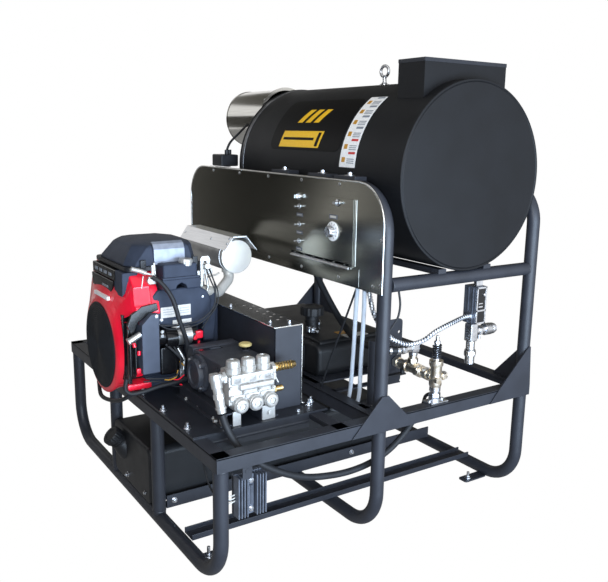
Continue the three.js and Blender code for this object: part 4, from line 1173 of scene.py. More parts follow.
def build_cords():
    for name, points, r, material, slot, node, stiffness, ripple in (
            ("pressure_line", HP_HOSE, 9, RUBBER, "black_rubber", "pressure_hose", "stiff", 0),
            ("supply_line", SUPPLY_HOSE, 11, RUBBER, "black_rubber", "supply_hose", "stiff", 0),
            ("conduit_line", CONDUIT, 7, ARMOUR, "zinc_plate", "wiring_conduit", "stiff", 0.2),
            ("clear_line_left", CLEAR_LEFT, 6, CLEAR, "clear_tube", "clear_hose_left", "medium", 0),
            ("clear_line_right", CLEAR_RIGHT, 6, CLEAR, "clear_tube", "clear_hose_right", "medium", 0)):
        path = smooth_path(points, 2 if ripple else 6)
        radii = [r * (1 - ripple * (i % 4 > 1)) for i in range(len(path))] if ripple else None
        obj = make(name, Solids().tube(path, r, 20, radii), material, slot, replaces=[node])
        centres = [place(*p) for p in path]
        length = sum((b - a).length for a, b in zip(centres, centres[1:]))
        tuple(centres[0])
        [tuple(c) for c in centres]


def build_small_lines():
    black = Solids()
    black.tube(smooth_path([(485, 121, 696), (487, 170, 600), (491, 240, 470), (495, 294, 359)], 8), 3, 10)
    black.tube(smooth_path([(546, 19, 697), (549, 15, 660), (541, 14, 625), (524, 18, 598), (512, 26, 560)],
                           6), 3, 10)
    black.tube(smooth_path([(690, 70, 316), (702, 72, 338), (705, 66, 362), (705, 44, 378)], 4), 5, 12)
    black.tube(smooth_path([(66, 24, 232), (40, 40, 226), (30, 90, 236), (34, 150, 300), (60, 220, 340)],
                           6), 2.5, 8)
    make("small_cables", black, RUBBER, "black_rubber")
    ends = Solids().rod((679, 65.6, 315), (690, 70, 316), 11).hexagon((683, 67, 315.4), (0.9, 0.36, 0), 22,
                                                                      9)
    ends.rod((652, 128, 492), (640, 129.5, 492.5), 12.6)
    ends.ring([(11.2, -3), (13.6, -3), (13.6, 3), (11.2, 3)], (626, 137, 493.5), (0.87, -0.48, 0), 28)
    ends.hexagon((832, 40, 590), X_AXIS, 20, 7)
    ends.rod((664, 584, 742), (664, 584, 752), 14)
    make("hose_fittings", ends, ZINC, "zinc_plate")


def build_unloader():
    x, y, z = 705, 30, 430
    bright = Solids().box(x - 32, x + 32, 6, 44, 358.3, 363, 0.8)
    bright.lathe([(0, 0), (17, 0), (17, 8), (12, 10), (12, 26), (16, 28), (16, 40), (13, 42), (0, 42)],
                 (x, y, 362), Z_AXIS, 28)
    bright.hexagon((x, y, 372), Z_AXIS, 30, 12)
    bright.rod((x, y, 480), (x, y, 530), 8.5)
    bright.rod((x, y, 529), (x, y, 548), 5).hexagon((x, y, 528), Z_AXIS, 16, 8)
    bright.lathe([(0, 0), (9, 0), (9, 4), (4, 10), (4, 24), (0, 24)], (x, y, 528), Z_AXIS, 20)
    bright.rod((x, 128, 470), (x, 128, 492), 13).rod((x + 12, 128, 492), (655, 128, 492), 12)
    bright.box(x - 14, x + 14, 114, 142, 478, 506, 5)
    bright.hexagon((672, 128, 492), -X_AXIS, 25, 10)
    for side in (-1, 1):
        bright.rod((x - 24 * side, 25, 363), (x - 24 * side, 25, 367), 5)
    make("unloader_bright_parts", bright, ZINC, "zinc_plate", replaces=["unloader_valve"])
    warm = Solids()
    warm.lathe([(0, 0), (15, 0), (18, 6), (18, 22), (15, 26), (17, 30), (17, 60), (20, 64), (20, 78),
                (0, 80)],
               (x, y, 402), Z_AXIS, 32)
    warm.rod((x, y, z), (x + 38, y, z), 11).hexagon((x + 20, y, z), X_AXIS, 24, 12)
    warm.rod((x - 8, y - 6, z - 4), (x - 8, 8, z - 4), 10).hexagon((x - 8, 14, z - 4), -Y_AXIS, 20, 8)
    for a, b, r in ((40, 62, 16), (62, 86, 13), (86, 112, 18), (112, 146, 15), (146, 160, 18),
                    (160, 196, 14)):
        warm.rod((x, a, z), (x, b, z), r)
    warm.hexagon((x, 56, z), Y_AXIS, 34, 14).hexagon((x, 92, z), Y_AXIS, 36, 14)
    warm.rod((x, 128, z), (x, 128, 474), 12).hexagon((x, 128, 448), Z_AXIS, 27, 12)
    warm.hexagon((x, 186, z), Y_AXIS, 32, 16)
    make("unloader_brass_parts", warm, BRASS, "brass")
    black = Solids()
    turns, steps = 6, 14
    coil = []
    for k in range(turns * steps + 1):
        turn = 2 * math.pi * k / steps
        coil.append((x + 11.4 * math.cos(turn), y + 11.4 * math.sin(turn), 485 + 40 * k / (turns * steps)))
    black.tube(coil, 2.2, 10)
    make("unloader_spring", black, PLASTIC, "black_paint")
    bracket = Solids().prism(rounded_rect(662, 728, 362, 561, 12, 5), "y", 206, 210, 0.6)
    bracket.box(662, 728, 206, 262, 358.3, 363, 0.8)
    bracket_obj = make("valve_bracket", bracket, POWDER, "black_powder_coat")
    carve(bracket_obj, Solids().rod((716, 200, 520), (716, 216, 520), 5))
    lever = Solids().rod((x, 172, z - 13.5), (x, 172, z - 28), 7)
    lever.prism([(x - 62, 164), (x - 20, 162), (x + 8, 163), (x + 8, 181), (x - 20, 182), (x - 62, 180)],
                "z",
                z - 31.7, z - 26.3, 1.6)
    lever.rod((x, 172, z - 31.9), (x, 172, z - 31.4), 5)
    make("ball_valve_lever", lever, PLASTIC, "black_plastic", body="valve_lever",
         replaces=["ball_valve_handle"])


def build_junction_box():
    x0, x1, y0, y1, z0, z1 = 839, 880, 19, 70, 567, 678
    box = Solids().box(x0, x1, y0 + 3, y1, z0, z1, 2.5)
    for y in (34, 52):
        box.box(x0 - 1.6, x0 + 2, y - 2.5, y + 2.5, z0 + 3, z1 - 3, 1)
    make("switch_box", box, GREY, "grey_metal", replaces=["junction_box"])
    bright = Solids()
    for a in ((x0 + 1, x0 + 6, z0 + 1, z1 - 1), (x1 - 6, x1 - 1, z0 + 1, z1 - 1),
              (x0 + 1, x1 - 1, z1 - 6, z1 - 1),
              (x0 + 1, x1 - 1, z0 + 1, z0 + 6), (x0 + 1, x1 - 1, z0 + 38, z0 + 43)):
        bright.box(a[0], a[1], y0 - 0.5, y0 + 4, a[2], a[3], 0.6)
    bright.box(x0 + 8, x1 - 8, 30, 42, z1 - 1, 697, 0.8)
    bright.rod((x0 + 30, y0 + 1, z1 - 24), (x0 + 30, y0 - 3, z1 - 24), 4.5)
    bright.box(x0 + 10, x0 + 26, y0 - 0.2, y0 + 2, z0 + 50, z0 + 54, 0.4)
    bright.box(x0 + 10, x0 + 26, y0 - 0.2, y0 + 2, z0 + 60, z0 + 63, 0.4)
    make("switch_box_trim", bright, ZINC, "zinc_plate")
    face = Solids().box(x0 + 5, x1 - 5, y0 + 0.8, y0 + 3.5, z0 + 5, z1 - 5, 0.4)
    make("switch_box_face", face, GLOSS, "black_plastic")
    tee = Solids()
    tee.box(838, 866, 31, 59, 512, 566, 4)
    tee.lathe([(0, 0), (14, 0), (14, 20), (16, 22), (16, 40), (13, 43), (13, 68), (0, 70)], (852, 45, 445),
              Z_AXIS, 32)
    tee.hexagon((852, 45, 470), Z_AXIS, 31, 12).rod((860, 45, 540), (904, 45, 540), 12)
    tee.hexagon((878, 45, 540), X_AXIS, 27, 9).rod((886, 45, 514), (886, 45, 540), 4.5)
    tee.lathe([(0, 0), (15, 0), (17.6, 2), (17.6, 26), (15.5, 29), (16.5, 32), (16.5, 36), (13.5, 38),
               (13.5, 44), (0, 44)],
              (902, 45, 540), X_AXIS, 96, ripple=lambda t: 1 - 0.02 * (math.sin(40 * t) > 0))
    make("flow_tee", tee, ZINC, "zinc_plate", replaces=["flow_switch"])


def build_regulator():
    x0, x1, y0, y1, z0, z1 = 60, 138, 5, 42, 186, 293
    cast = Solids().box(x0, x1, y1 - 12, y1, z0, z1, 2)
    for x in (60, 68, 76, 84):
        for mirrored in (False, True):
            px = x0 + x1 - x - 3.6 if mirrored else x
            top = z1 - (0 if x != 84 else 0)
            cast.prism([(px, z0), (px + 3.6, z0), (px + 3.6, top - 6), (px + 1.8, top), (px, top - 4)], "y",
                       y0, y1 - 4, 0.8)
    for px in (93, 97.5, 102):
        cast.box(px - 1.4, px + 1.4, y0 + 6, y1 - 4, z0 + 28, z1 - 28, 0.7)
    cast.box(90, 108, y0 + 12, y1 - 4, z0 + 2, z1 - 2, 1)
    make("regulator_casting", cast, GREY, "grey_metal", replaces=["voltage_regulator"])
    bright = Solids()
    for z in (z0 + 16, z1 - 16):
        bright.rod((99, y0 + 12, z), (99, y0 + 7, z), 7.5).hexagon((99, y0 + 7, z), -Y_AXIS, 9, 2.4)
    make("regulator_screws", bright, ZINC, "zinc_plate")
    bracket = Solids().box(70, 96, 3, 7, z1 - 6, 322, 0.6).rod((83, 3.4, 309), (83, 1.8, 309), 6)
    make("regulator_bracket", bracket, POWDER, "black_powder_coat")
    wires = Solids()
    for k, z in enumerate((228, 236, 244)):
        wires.tube(smooth_path([(60, 24, z), (50, 26 + 2 * k, z - 4), (36, 34, z + 6 * k - 8), (24, 44, z)],
                               4), 1.8, 8)
    make("regulator_wires", wires, PALE_LABEL, "zinc_plate")


# ---------- engine ----------
SHROUD_HALF = [(78, 372), (145, 388), (180, 428), (192, 500), (190, 620), (172, 680), (135, 717)]
SHROUD_BACK, MOUTH_R = 50, 122


def shroud_outline(inset=0.0):
    half = [(w - inset, z + (inset if z < 545 else -inset)) for w, z in SHROUD_HALF]
    return [(CRANK["y"] + w, z) for w, z in half] + [(CRANK["y"] - w, z) for w, z in half[::-1]]


def outline_reach(outline, angle):
    """Distance from the crank's centre to the outline along an angle."""
    heading = Vector((math.cos(angle), math.sin(angle)))
    centre = Vector((CRANK["y"], CRANK["z"]))
    far = 0.0
    for a, b in zip(outline, outline[1:] + outline[:1]):
        start = Vector(a) - centre
        edge = Vector(b) - Vector(a)
        cross = heading.x * edge.y - heading.y * edge.x
        if abs(cross) < 1e-9:
            continue
        along = (start.x * edge.y - start.y * edge.x) / cross
        share = (start.x * heading.y - start.y * heading.x) / cross
        if along > 0 and -1e-6 <= share <= 1 + 1e-6:
            far = max(far, along)
    return far


def shroud_loops():
    """Cross sections from the housing's back to the round lip of the fan mouth."""
    stations = [(8, 0, 0), (-14, 0, 1), (-24, 0.1, 4), (-34, 0.34, 6), (-42, 0.58, 6), (-49, 0.8, 6),
                (-54, 0.94, 5),
                (-57, 1, 9), (-59.5, 1, 15), (-60, 1, 20)]
    outline = shroud_outline()
    angles = [2 * math.pi * k / 120 for k in range(120)]
    loops = []
    for x, roundness, inset in stations:
        loop = []
        for angle in angles:
            reach = outline_reach(outline, angle) * (1 - roundness) + 150 * roundness - inset
            loop.append((x, CRANK["y"] + reach * math.cos(angle), CRANK["z"] + reach * math.sin(angle)))
        loops.append(loop)
    return loops


def soften(obj, voxel, passes):
    """Melts overlapping solids into one rounded skin."""
    obj.modifiers.clear()
    melt = obj.modifiers.new("melt", "REMESH")
    melt.mode = "VOXEL"
    melt.voxel_size = voxel * MM
    smooth = obj.modifiers.new("smooth", "SMOOTH")
    smooth.factor, smooth.iterations = 0.5, passes
    apply_modifiers(obj)


def build_shroud():
    upper = [(CRANK["y"] + w, z) for w, z in ((191, 606), (190, 620), (172, 680), (135, 717))]
    upper += [(2 * CRANK["y"] - y, z) for y, z in upper[::-1]]
    skin = Solids().loft(shroud_loops())
    skin.prism(upper, "x", -20, SHROUD_BACK, 0)
    skin.box(-50, 18, 436, 475, 398, 416, 0)
    obj = make("shroud_housing", skin, RED, "red_paint", replaces=["fan_shroud"])
    soften(obj, 3.2, 5)
    cut = Solids().prism([(425, 630), (448, 631), (462, 684), (425, 696)], "x", -30, 28, 5)
    cut.box(-45, 100, 300, 511, 417, 585, 0)
    cut.prism([(-45, 584), (-45, 590), (-30, 606), (100, 606), (100, 584)], "y", 300, 511, 0)
    cut.box(31, 100, 300, 511, 300, 420, 0)
    cut.prism(shroud_outline(13), "x", -10, 60, 0)
    cut.rod((-70, CRANK["y"], CRANK["z"]), (-5, CRANK["y"], CRANK["z"]), MOUTH_R, sides=96, chamfer=0)
    carve(obj, cut)
    name_panel = Solids().prism([(542, 718), (736, 718), (736, 688), (542, 688)], "x", -40, -10, 3, 3)
    name_panel.prism([(548, 686), (736, 686), (730, 650), (600, 640), (566, 652)], "x", -44, -14, 3, 3)
    make("shroud_name_panel", name_panel, GLOSS, "black_plastic")
    facet = Solids().prism([(-38, 718), (10, 722), (-4, 690), (-40, 652)], "y", 488, 552, 3, 3)
    make("shroud_corner_panel", facet, AIR_BLACK, "black_plastic")
    marks = Solids()
    for k in range(4):
        marks.box(-41.2, -39.4, 572 + 40 * k, 594 + 40 * k, 698, 707, 0.5)
    marks.box(-45.2, -43.4, 590, 640, 662, 668, 0.5)
    make("shroud_panel_marks", marks, GREY_PRINT, "grey_metal")
    strip = Solids().box(-59, -50, 560, 672, 632, 642, 0.3)
    make("shroud_strip", strip, WHITE, "red_paint")


def build_grille():
    at = (-56, CRANK["y"], CRANK["z"])
    rim = MOUTH_R + 4.5
    dome = [(0, -4), (rim - 6, -4), (rim - 6, 0), (rim, 0), (rim, 5), (rim - 2, 7)]
    for k in range(19, 0, -1):
        r = 6 * k
        lift = 7 + 5.5 * (1 - (r / rim) ** 2)
        dome += [(r + 2.4, lift - 0.9), (r + 1.6, lift), (r, lift), (r - 0.8, lift - 0.9)]
    dome += [(0, 12)]
    screen = Solids().lathe(dome, at, -X_AXIS, 128)
    make("fan_screen", screen, SCREEN_BLACK, "black_plastic", replaces=["fan_grille"])


def rounded_slab(x0, x1, y0, y1, z, r, steps=6):
    return [(x, y, z) for x, y in rounded_rect(x0, x1, y0, y1, r, steps)]


def chamfered_slab(x0, x1, y0, y1, z, c):
    flat = c * 0.62
    return [(x1 - flat, y0, z), (x1, y0 + c, z), (x1, y1 - c, z), (x1 - flat, y1, z), (x0 + flat, y1, z),
            (x0, y1 - c, z),
            (x0, y0 + c, z), (x0 + flat, y0, z)]


def build_air_cleaner():
    tray = Solids()
    tray.loft([rounded_slab(-26, 194, 484, 750, 720, 20), rounded_slab(-28, 196, 482, 752, 722, 20),
               rounded_slab(-28, 196, 482, 752, 731, 20), rounded_slab(-27, 195, 483, 751, 733, 20)])
    crown = Solids()
    crown.loft([chamfered_slab(-23, 194, 485, 747, 733.4, 34),
                chamfered_slab(-21, 193.5, 486, 745, 741, 36),
                chamfered_slab(7, 190, 494, 732, 782, 46), chamfered_slab(16, 186, 502, 722, 789, 50),
                chamfered_slab(34, 176, 524, 700, 794, 50), chamfered_slab(60, 150, 560, 660, 797, 30)], 3)
    make("air_cleaner_crown", crown, AIR_BLACK, "black_plastic")
    for x in (20, 176):
        tray.box(x - 8, x + 8, 478, 486, 728, 752, 2)
    make("air_cleaner_case", tray, PLASTIC, "black_plastic", replaces=["air_cleaner"])
    plate = [(483, 743), (486.5, 743), (489, 776), (497, 789), (508, 795), (506, 798), (494, 792),
             (485.6, 778)]
    cover = Solids().prism(plate, "x", 54, 146, 0.8)
    cover.box(52, 146, 478, 486, 737, 744, 1)
    make("air_cleaner_plate", cover, PLATE_BLUE, "grey_metal")
    slots = Solids()
    for x in (72, 100, 128):
        slots.box(x - 5, x + 5, 477.4, 480, 739, 742.4, 0.4)
    make("air_cleaner_slots", slots, GLOSS, "black_plastic")
    cap = Solids().lathe([(0, 0), (16, 0), (19, 3), (19.6, 16), (17.5, 20.5), (0, 21.5)], (134, 452, 732),
                         Z_AXIS, 60,
                         ripple=lambda t: 1 + 0.02 * math.cos(15 * t))
    make("oil_cap_body", cap, CAST, "grey_metal", body="engine_cap", replaces=["oil_filler_cap"])


def finned_bank(solids, side):
    """Cooling fins and head of one cylinder, leaning 45 degrees from upright."""
    lean = Matrix.Translation((0, CRANK["y"], CRANK["z"])) @ Matrix.Rotation(side * math.pi / 4, 4, "X")
    part = bmesh.new()
    pieces = [(58, 154, 84, 60, 210)] + [(50, 162, 98, 92 + 12 * k, 97 + 12 * k) for k in range(9)]
    for x0, x1, width, low, high in pieces:
        size = Matrix.Diagonal((x1 - x0, width, high - low, 1))
        centre = Matrix.Translation(((x0 + x1) / 2, 0, (low + high) / 2))
        bmesh.ops.create_cube(part, size=1, matrix=lean @ centre @ size)
    return solids.take(part, 0.8)


def build_block():
    block = Solids().box(10, 262, 507, 753, PLATE_TOP + 0.3, 598, 8, segments=4)
    block.box(20, 258, 520, 740, PLATE_TOP + 0.3, PLATE_TOP + 12, 2)
    for side in (-1, 1):
        finned_bank(block, side)
    block.box(62, 198, 565, 695, 590, 719, 8)
    tin = [(31, 580), (31, 655), (48, 671), (172, 671), (198, 655), (210, 628), (208, 580), (190, 560),
           (60, 562)]
    block.prism(tin, "y", 447, 560, 7, 3)
    block.prism(tin, "y", 700, 812, 7, 3)
    block.prism([(196, 500), (228, 500), (236, 560), (236, 640), (205, 662), (190, 640)], "y", 470, 560, 6,
                3)
    obj = make("engine_casing", block, AIR_BLACK, "black_paint", replaces=["engine_block"])
    carve(obj, Solids().rod((5, CRANK["y"], CRANK["z"]), (270, CRANK["y"], CRANK["z"]), 19, chamfer=0))
    covers = Solids()
    for y0, y1 in ((427, 498), (762, 833)):
        lower = [(54, 672), (94, 672), (98, 683), (111, 690), (124, 683), (128, 672), (168, 672),
                 (172, 700), (52, 700)]
        covers.prism(lower, "y", y0 + 2, y1, 3, 3)
        covers.box(60, 162, y0 + 8, y1, 698, 742, 7, segments=3)
        covers.box(56, 166, y0 + 3, y1, 700, 706, 1.4)
    covers.lathe([(0, 0), (15, 0), (14, 8), (12.6, 29), (0, 29)], (134, 452, 704), Z_AXIS, 32)
    make("rocker_covers", covers, AIR_BLACK, "black_paint")
    labels = Solids().box(54, 99, 445.6, 447.2, 591, 621, 0.2).box(105, 144, 445.6, 447.2, 592, 623, 0.2)
    labels.box(89, 146, 445.6, 447.2, 570, 581, 0.2)
    make("engine_labels", labels, PALE_LABEL, "black_paint")
    lines = Solids()
    for x0, x1 in ((60, 93), (110, 139)):
        for z in (600, 607, 614):
            lines.box(x0, x1, 445.2, 445.8, z - 0.7, z + 0.7, 0.1)
    make("engine_label_lines", lines, GREY_PRINT, "black_paint")
    screws = Solids()
    for x, z in ((46, 574), (182, 640)):
        screws.bolt((x, 447, z), -Y_AXIS, 3)
    make("engine_screws", screws, ZINC, "zinc_plate")


def build_controls():
    plate = [(-12, 445), (38, 445), (38, 612), (16, 612), (-12, 584)]
    box = Solids().prism(plate, "y", 419, 500, 2.5, 3)
    # The cover's blue-grey is painted light on black plastic.
    make("control_cover", box, LIT_BLACK_PLASTIC, "black_plastic")
    trim = [(-45, 582), (-33, 612), (-3, 632), (41, 638), (44, 618), (25, 612), (-15, 590), (-33, 550)]
    dark = Solids().prism(trim, "y", 438, 452, 2.5)
    dark.prism([(-44, 404), (-34, 404), (-30, 560), (-42, 575)], "y", 446, 454, 2)
    dark.rod((-40, 438, 440), (-40, 438, 530), 4.5).rod((-24, 440, 446), (-24, 440, 560), 5)
    dark.box(-44, 9, 480, 510, 416, 604, 2).box(48, 118, 436, 505, 428, 508, 6).rod((20, 455, 536),
                                                                                    (62, 455, 536), 26)
    dark.rod((62, 450, 530), (96, 450, 530), 31, sides=40).rod((141, 450, 534), (160, 450, 534), 22,
                                                               sides=32)
    dark.box(92, 160, 448, 508, 505, 530, 4)
    make("engine_dark_parts", dark, GLOSS, "black_plastic")
    bright = Solids().rod((96, 450, 534), (141, 450, 534), 27, sides=40).rod((86, 450, 552),
                                                                             (118, 450, 566), 9)
    bright.rod((-46, 425, 544), (-14, 425, 560), 9).rod((-50, 425, 542), (-46, 425, 544), 11)
    for x, z in ((44, 594), (30, 606), (46, 560), (46, 548)):
        bright.bolt((x, 419, z), -Y_AXIS, 4)
    bright.tube([(100, 440, 500), (112, 425, 470), (108, 424, 440)], 5, 10)
    bright.box(98, 110, 420, 428, 420, 462, 2)
    make("engine_bright_parts", bright, ALUMINIUM, "grey_metal")
    clip = Solids().box(150, 172, 424, 440, 524, 546, 4).box(144, 156, 428, 436, 520, 536, 3)
    clip.rod((162, 430, 516), (158, 432, 500), 3)
    clip.rod((-32, 432, 536), (-30, 430, 524), 5).rod((-20, 428, 500), (-18, 430, 512), 5)
    clip.box(-26, -14, 428, 438, 448, 462, 3)
    make("red_clips", clip, RED, "red_paint")


def build_throttle():
    bits = Solids()
    bits.tube([(-26, 450, 737), (2, 448, 728), (14, 446, 722)], 6.5, 14)
    bits.tube([(14, 446, 722), (34, 444, 716), (44, 446, 706)], 3.2, 10)
    bits.box(20, 42, 442, 450, 690, 712, 3).box(28, 34, 438, 446, 712, 744, 1.4)
    bits.rod((40, 452, 748), (40, 446, 716), 3).rod((24, 440, 700), (24, 450, 700), 8)
    bits.rod((6, 446, 716), (-2, 440, 682), 1.8)
    bracket = [(186, 746), (192, 752), (212, 752), (217, 742), (214, 716), (206, 716), (205, 738),
               (196, 738), (197, 700),
               (193, 664), (187, 664)]
    bits.prism(bracket, "y", 466, 472, 1)
    bits.box(192, 222, 462, 476, 700, 716, 2).rod((203, 466, 724), (203, 452, 724), 9)
    bits.tube([(200, 462, 704), (206, 460, 664), (200, 462, 640)], 4, 10)
    bits.tube([(212, 470, 690), (240, 474, 694), (250, 476, 698)], 2.6, 8)
    for a in ((172, 668, 182, 682), (170, 700, 178, 714), (174, 640, 190, 652)):
        bits.box(a[0], a[2], 452, 466, a[1], a[3], 2)
    make("throttle_parts", bits, CAST, "grey_metal")
    cables = Solids()
    cables.tube(smooth_path([(28, 436, 712), (46, 424, 698), (71, 408, 657), (92, 404, 586),
                             (112, 408, 530),
                             (124, 424, 480), (128, 432, 448)], 5), 6.5, 14)
    for shift, r in ((0, 2.2), (9, 2.0)):
        loop = [(196 + shift, 462, 730), (203 + shift, 440, 690), (211 + shift, 426, 655),
                (204 + shift, 420, 614),
                (172, 420, 584 - shift), (129, 424, 571 - shift), (70, 432, 571 - shift), (48, 440, 574)]
        cables.tube(smooth_path(loop, 5), r, 8)
    cables.tube(smooth_path([(206, 448, 718), (216, 436, 670), (212, 426, 620), (186, 424, 575),
                             (170, 428, 552)], 5), 2.0, 8)
    cables.tube(smooth_path([(-58, 425, 440), (-62, 424, 410), (-50, 420, 398), (-20, 412, 400),
                             (30, 410, 408),
                             (80, 410, 412), (128, 418, 418)], 6), 6, 14)
    cables.tube(smooth_path([(-48, 700, 352), (-62, 640, 330), (-64, 540, 344), (-62, 470, 366),
                             (-56, 430, 386),
                             (-46, 418, 397)], 8), 6, 14)
    cables.tube(smooth_path([(-10, 424, 424), (30, 414, 420), (70, 412, 402), (100, 416, 392),
                             (116, 424, 384)], 5), 2.2, 8)
    cables.tube(smooth_path([(80, 420, 512), (94, 408, 478), (80, 404, 434), (36, 408, 430),
                             (-8, 414, 436)], 5), 2.4, 8)
    cables.tube(smooth_path([(60, 430, 520), (84, 416, 494), (104, 412, 470)], 4), 4, 10)
    make("engine_cables", cables, RUBBER, "black_rubber")
    red = Solids().tube(smooth_path([(96, 420, 400), (110, 404, 392), (122, 380, 374), (126, 360, 368)], 4),
                        2.6, 8)
    red.tube(smooth_path([(60, 410, 426), (84, 406, 420), (104, 408, 430)], 4), 1.6, 8)
    make("red_wire", red, RED, "red_paint")
    warm = Solids().tube(smooth_path([(86, 410, 446), (78, 404, 430), (60, 404, 424), (44, 406, 426)], 4),
                         1.6, 8)
    warm.tube(smooth_path([(92, 412, 470), (100, 410, 462), (104, 410, 456)], 4), 1.6, 8)
    make("yellow_wires", warm, AMBER, "brass")


def build_exhaust():
    x, z, y0, r = 330, 733, 515, 50
    can = Solids().lathe([(0, 3), (r - 2, 3), (r - 1, 5), (r - 1, 290), (r - 4, 298), (0, 299)], (x, y0, z),
                         Y_AXIS, 64)
    can.ring([(r - 3, 20), (r + 0.6, 21), (r + 0.6, 24), (r - 3, 25)], (x, y0, z), Y_AXIS, 64)
    make("muffler_can", can, ALUMINIUM, "grey_metal", replaces=["muffler"])
    pale = Solids().lathe([(0, -1.4), (r - 14, -1.4), (r - 10, 0.6), (r - 3, 0), (r + 0.6, 1.4),
                           (r + 0.8, 10), (r - 3, 10),
                           (0, 8)], (x, y0, z), Y_AXIS, 64)
    route = bent([(318, 554, 700), (316, 540, 664), (262, 506, 632), (214, 480, 646), (163, 480, 650)], 26,
                 8)
    pale.tube(route, 15.5, 24)
    pale.rod((160.4, 480, 650), (168, 480, 650), 24)
    pale.ring([(15, -4), (20, -4), (20, 4), (15, 4)], (317.5, 549, 688), (0.04, 0.3, 0.95), 32)
    make("exhaust_pipe", pale, CREAM, "grey_metal")
    shield = [(281, 757), (308, 795), (354, 795), (389, 754), (387.4, 752.6), (353.3, 793.2),
              (308.7, 793.2), (282.6, 756)]
    cover = Solids().prism(shield, "y", 497, 822, 0.5)
    cover.prism([(308, 795), (354, 795), (353, 797.4), (309, 797.4)], "y", 497, 500, 0.5)
    make("muffler_shield", cover, STAINLESS_PAINTED_SHEEN, "stainless_sheet", replaces=["heat_shield"])
    screws = Solids()
    slope = Vector((-38, 0, 27)).normalized()
    for y, share in ((512, 0.5), (620, 0.55), (806, 0.5), (514, 0.86)):
        at = Vector((281 + 27 * share, y, 757 + 38 * share))
        screws.dome(at + slope * 0.2, slope, 4, 2)
    make("shield_screws", screws, ZINC, "zinc_plate")


# ---------- belt guard ----------
GUARD_HOLE_ROWS = ((320, 10), (343, -8))
GUARD_HOLES = [(x, y + shift) for y in (249, 288, 326, 363, 403, 444) for x, shift in GUARD_HOLE_ROWS]


def build_guard():
    g = GUARD
    shell = Solids().box(g["x0"], g["x0"] + 3, g["y0"], g["y1"], g["z0"], g["top"], 0.6)
    shell.box(g["x0"], g["x1"], g["y0"], g["y0"] + 3, g["z0"], g["top"], 0.6)
    shell.box(g["x0"], g["x1"], g["y1"] - 3, g["y1"], g["z0"], g["top"], 0.6)
    shell.box(g["x0"] - 10, g["x0"] + 1, g["y0"] + 60, g["y1"] - 60, g["z0"], g["z0"] + 3, 0.6)
    obj = make("belt_guard_shell", shell, POWDER, "black_powder_coat", replaces=["belt_guard"])
    holes = Solids().rod((g["x0"] - 5, CRANK["y"], CRANK["z"]), (g["x0"] + 8, CRANK["y"], CRANK["z"]), 24,
                         chamfer=0)
    holes.rod((g["x0"] - 5, PUMP["shaft_y"], PUMP["shaft_z"]),
              (g["x0"] + 8, PUMP["shaft_y"], PUMP["shaft_z"]), 22, chamfer=0)
    carve(obj, holes)
    top = g["top"]
    cover = Solids().box(g["x0"] - 2, g["x1"] + 3, g["y0"] - 2, g["y1"] + 2, top + 0.3, top + 3, 0.6)
    cover.box(g["x1"] + 0.4, g["x1"] + 3, g["y0"] - 2, g["y1"] + 2, g["z0"] + 4, top + 2, 0.6)
    cover.box(g["x1"] + 1, g["x1"] + 13, g["y0"] - 2, g["y1"] + 2, g["z0"] + 4, g["z0"] + 7, 0.6)
    lid = make("guard_lid", cover, BLACK_METAL, "machined_steel", replaces=["guard_cover"])
    holes = Solids()
    for x, y in GUARD_HOLES:
        holes.rod((x, y, top - 4), (x, y, top + 8), 5.6, chamfer=0)
    carve(lid, holes)
    pale, hole_light_plugs = Solids(), Solids()
    # Pale plugs in the lid's holes: painted light showing through them.
    for x, y in GUARD_HOLES:
        hole_light_plugs.rod((x, y, top + 0.4), (x, y, top + 2.2), 5.4)
    # Bright strips on the lid's left and front edges and the side's front edge: painted edge highlights.
    pale.box(g["x0"] - 3, g["x0"] - 1.2, g["y0"] - 3, g["y1"] + 2, top + 0.4, top + 3.4, 0.5)
    pale.box(g["x0"] - 3, g["x1"] + 3.4, g["y0"] - 3.4, g["y0"] - 1.6, top + 0.4, top + 3.4, 0.5)
    pale.box(g["x1"] + 0.2, g["x1"] + 3.4, g["y0"] - 3.4, g["y0"] - 1.8, g["z0"] + 4, top + 3.2, 0.5)
    pale.box(g["x1"] + 0.2, g["x1"] + 13, g["y0"] - 3.4, g["y0"] - 1.8, g["z0"] + 3.8, g["z0"] + 7.2, 0.5)
    make("guard_lid_edge_highlights", pale, EDGE, "machined_steel")
    make("guard_lid_hole_light", hole_light_plugs, PALE_LABEL, "machined_steel")
    bolts = Solids()
    for x, y in ((282, 236), (325, 206), (279, 458), (282, 700)):
        bolts.bolt((x, y, top + 3), Z_AXIS, 5.5, 4)
    bolts.bolt((370, 174, PLATE_TOP), Z_AXIS, 7, 12)
    make("guard_bolts", bolts, ZINC, "zinc_plate")


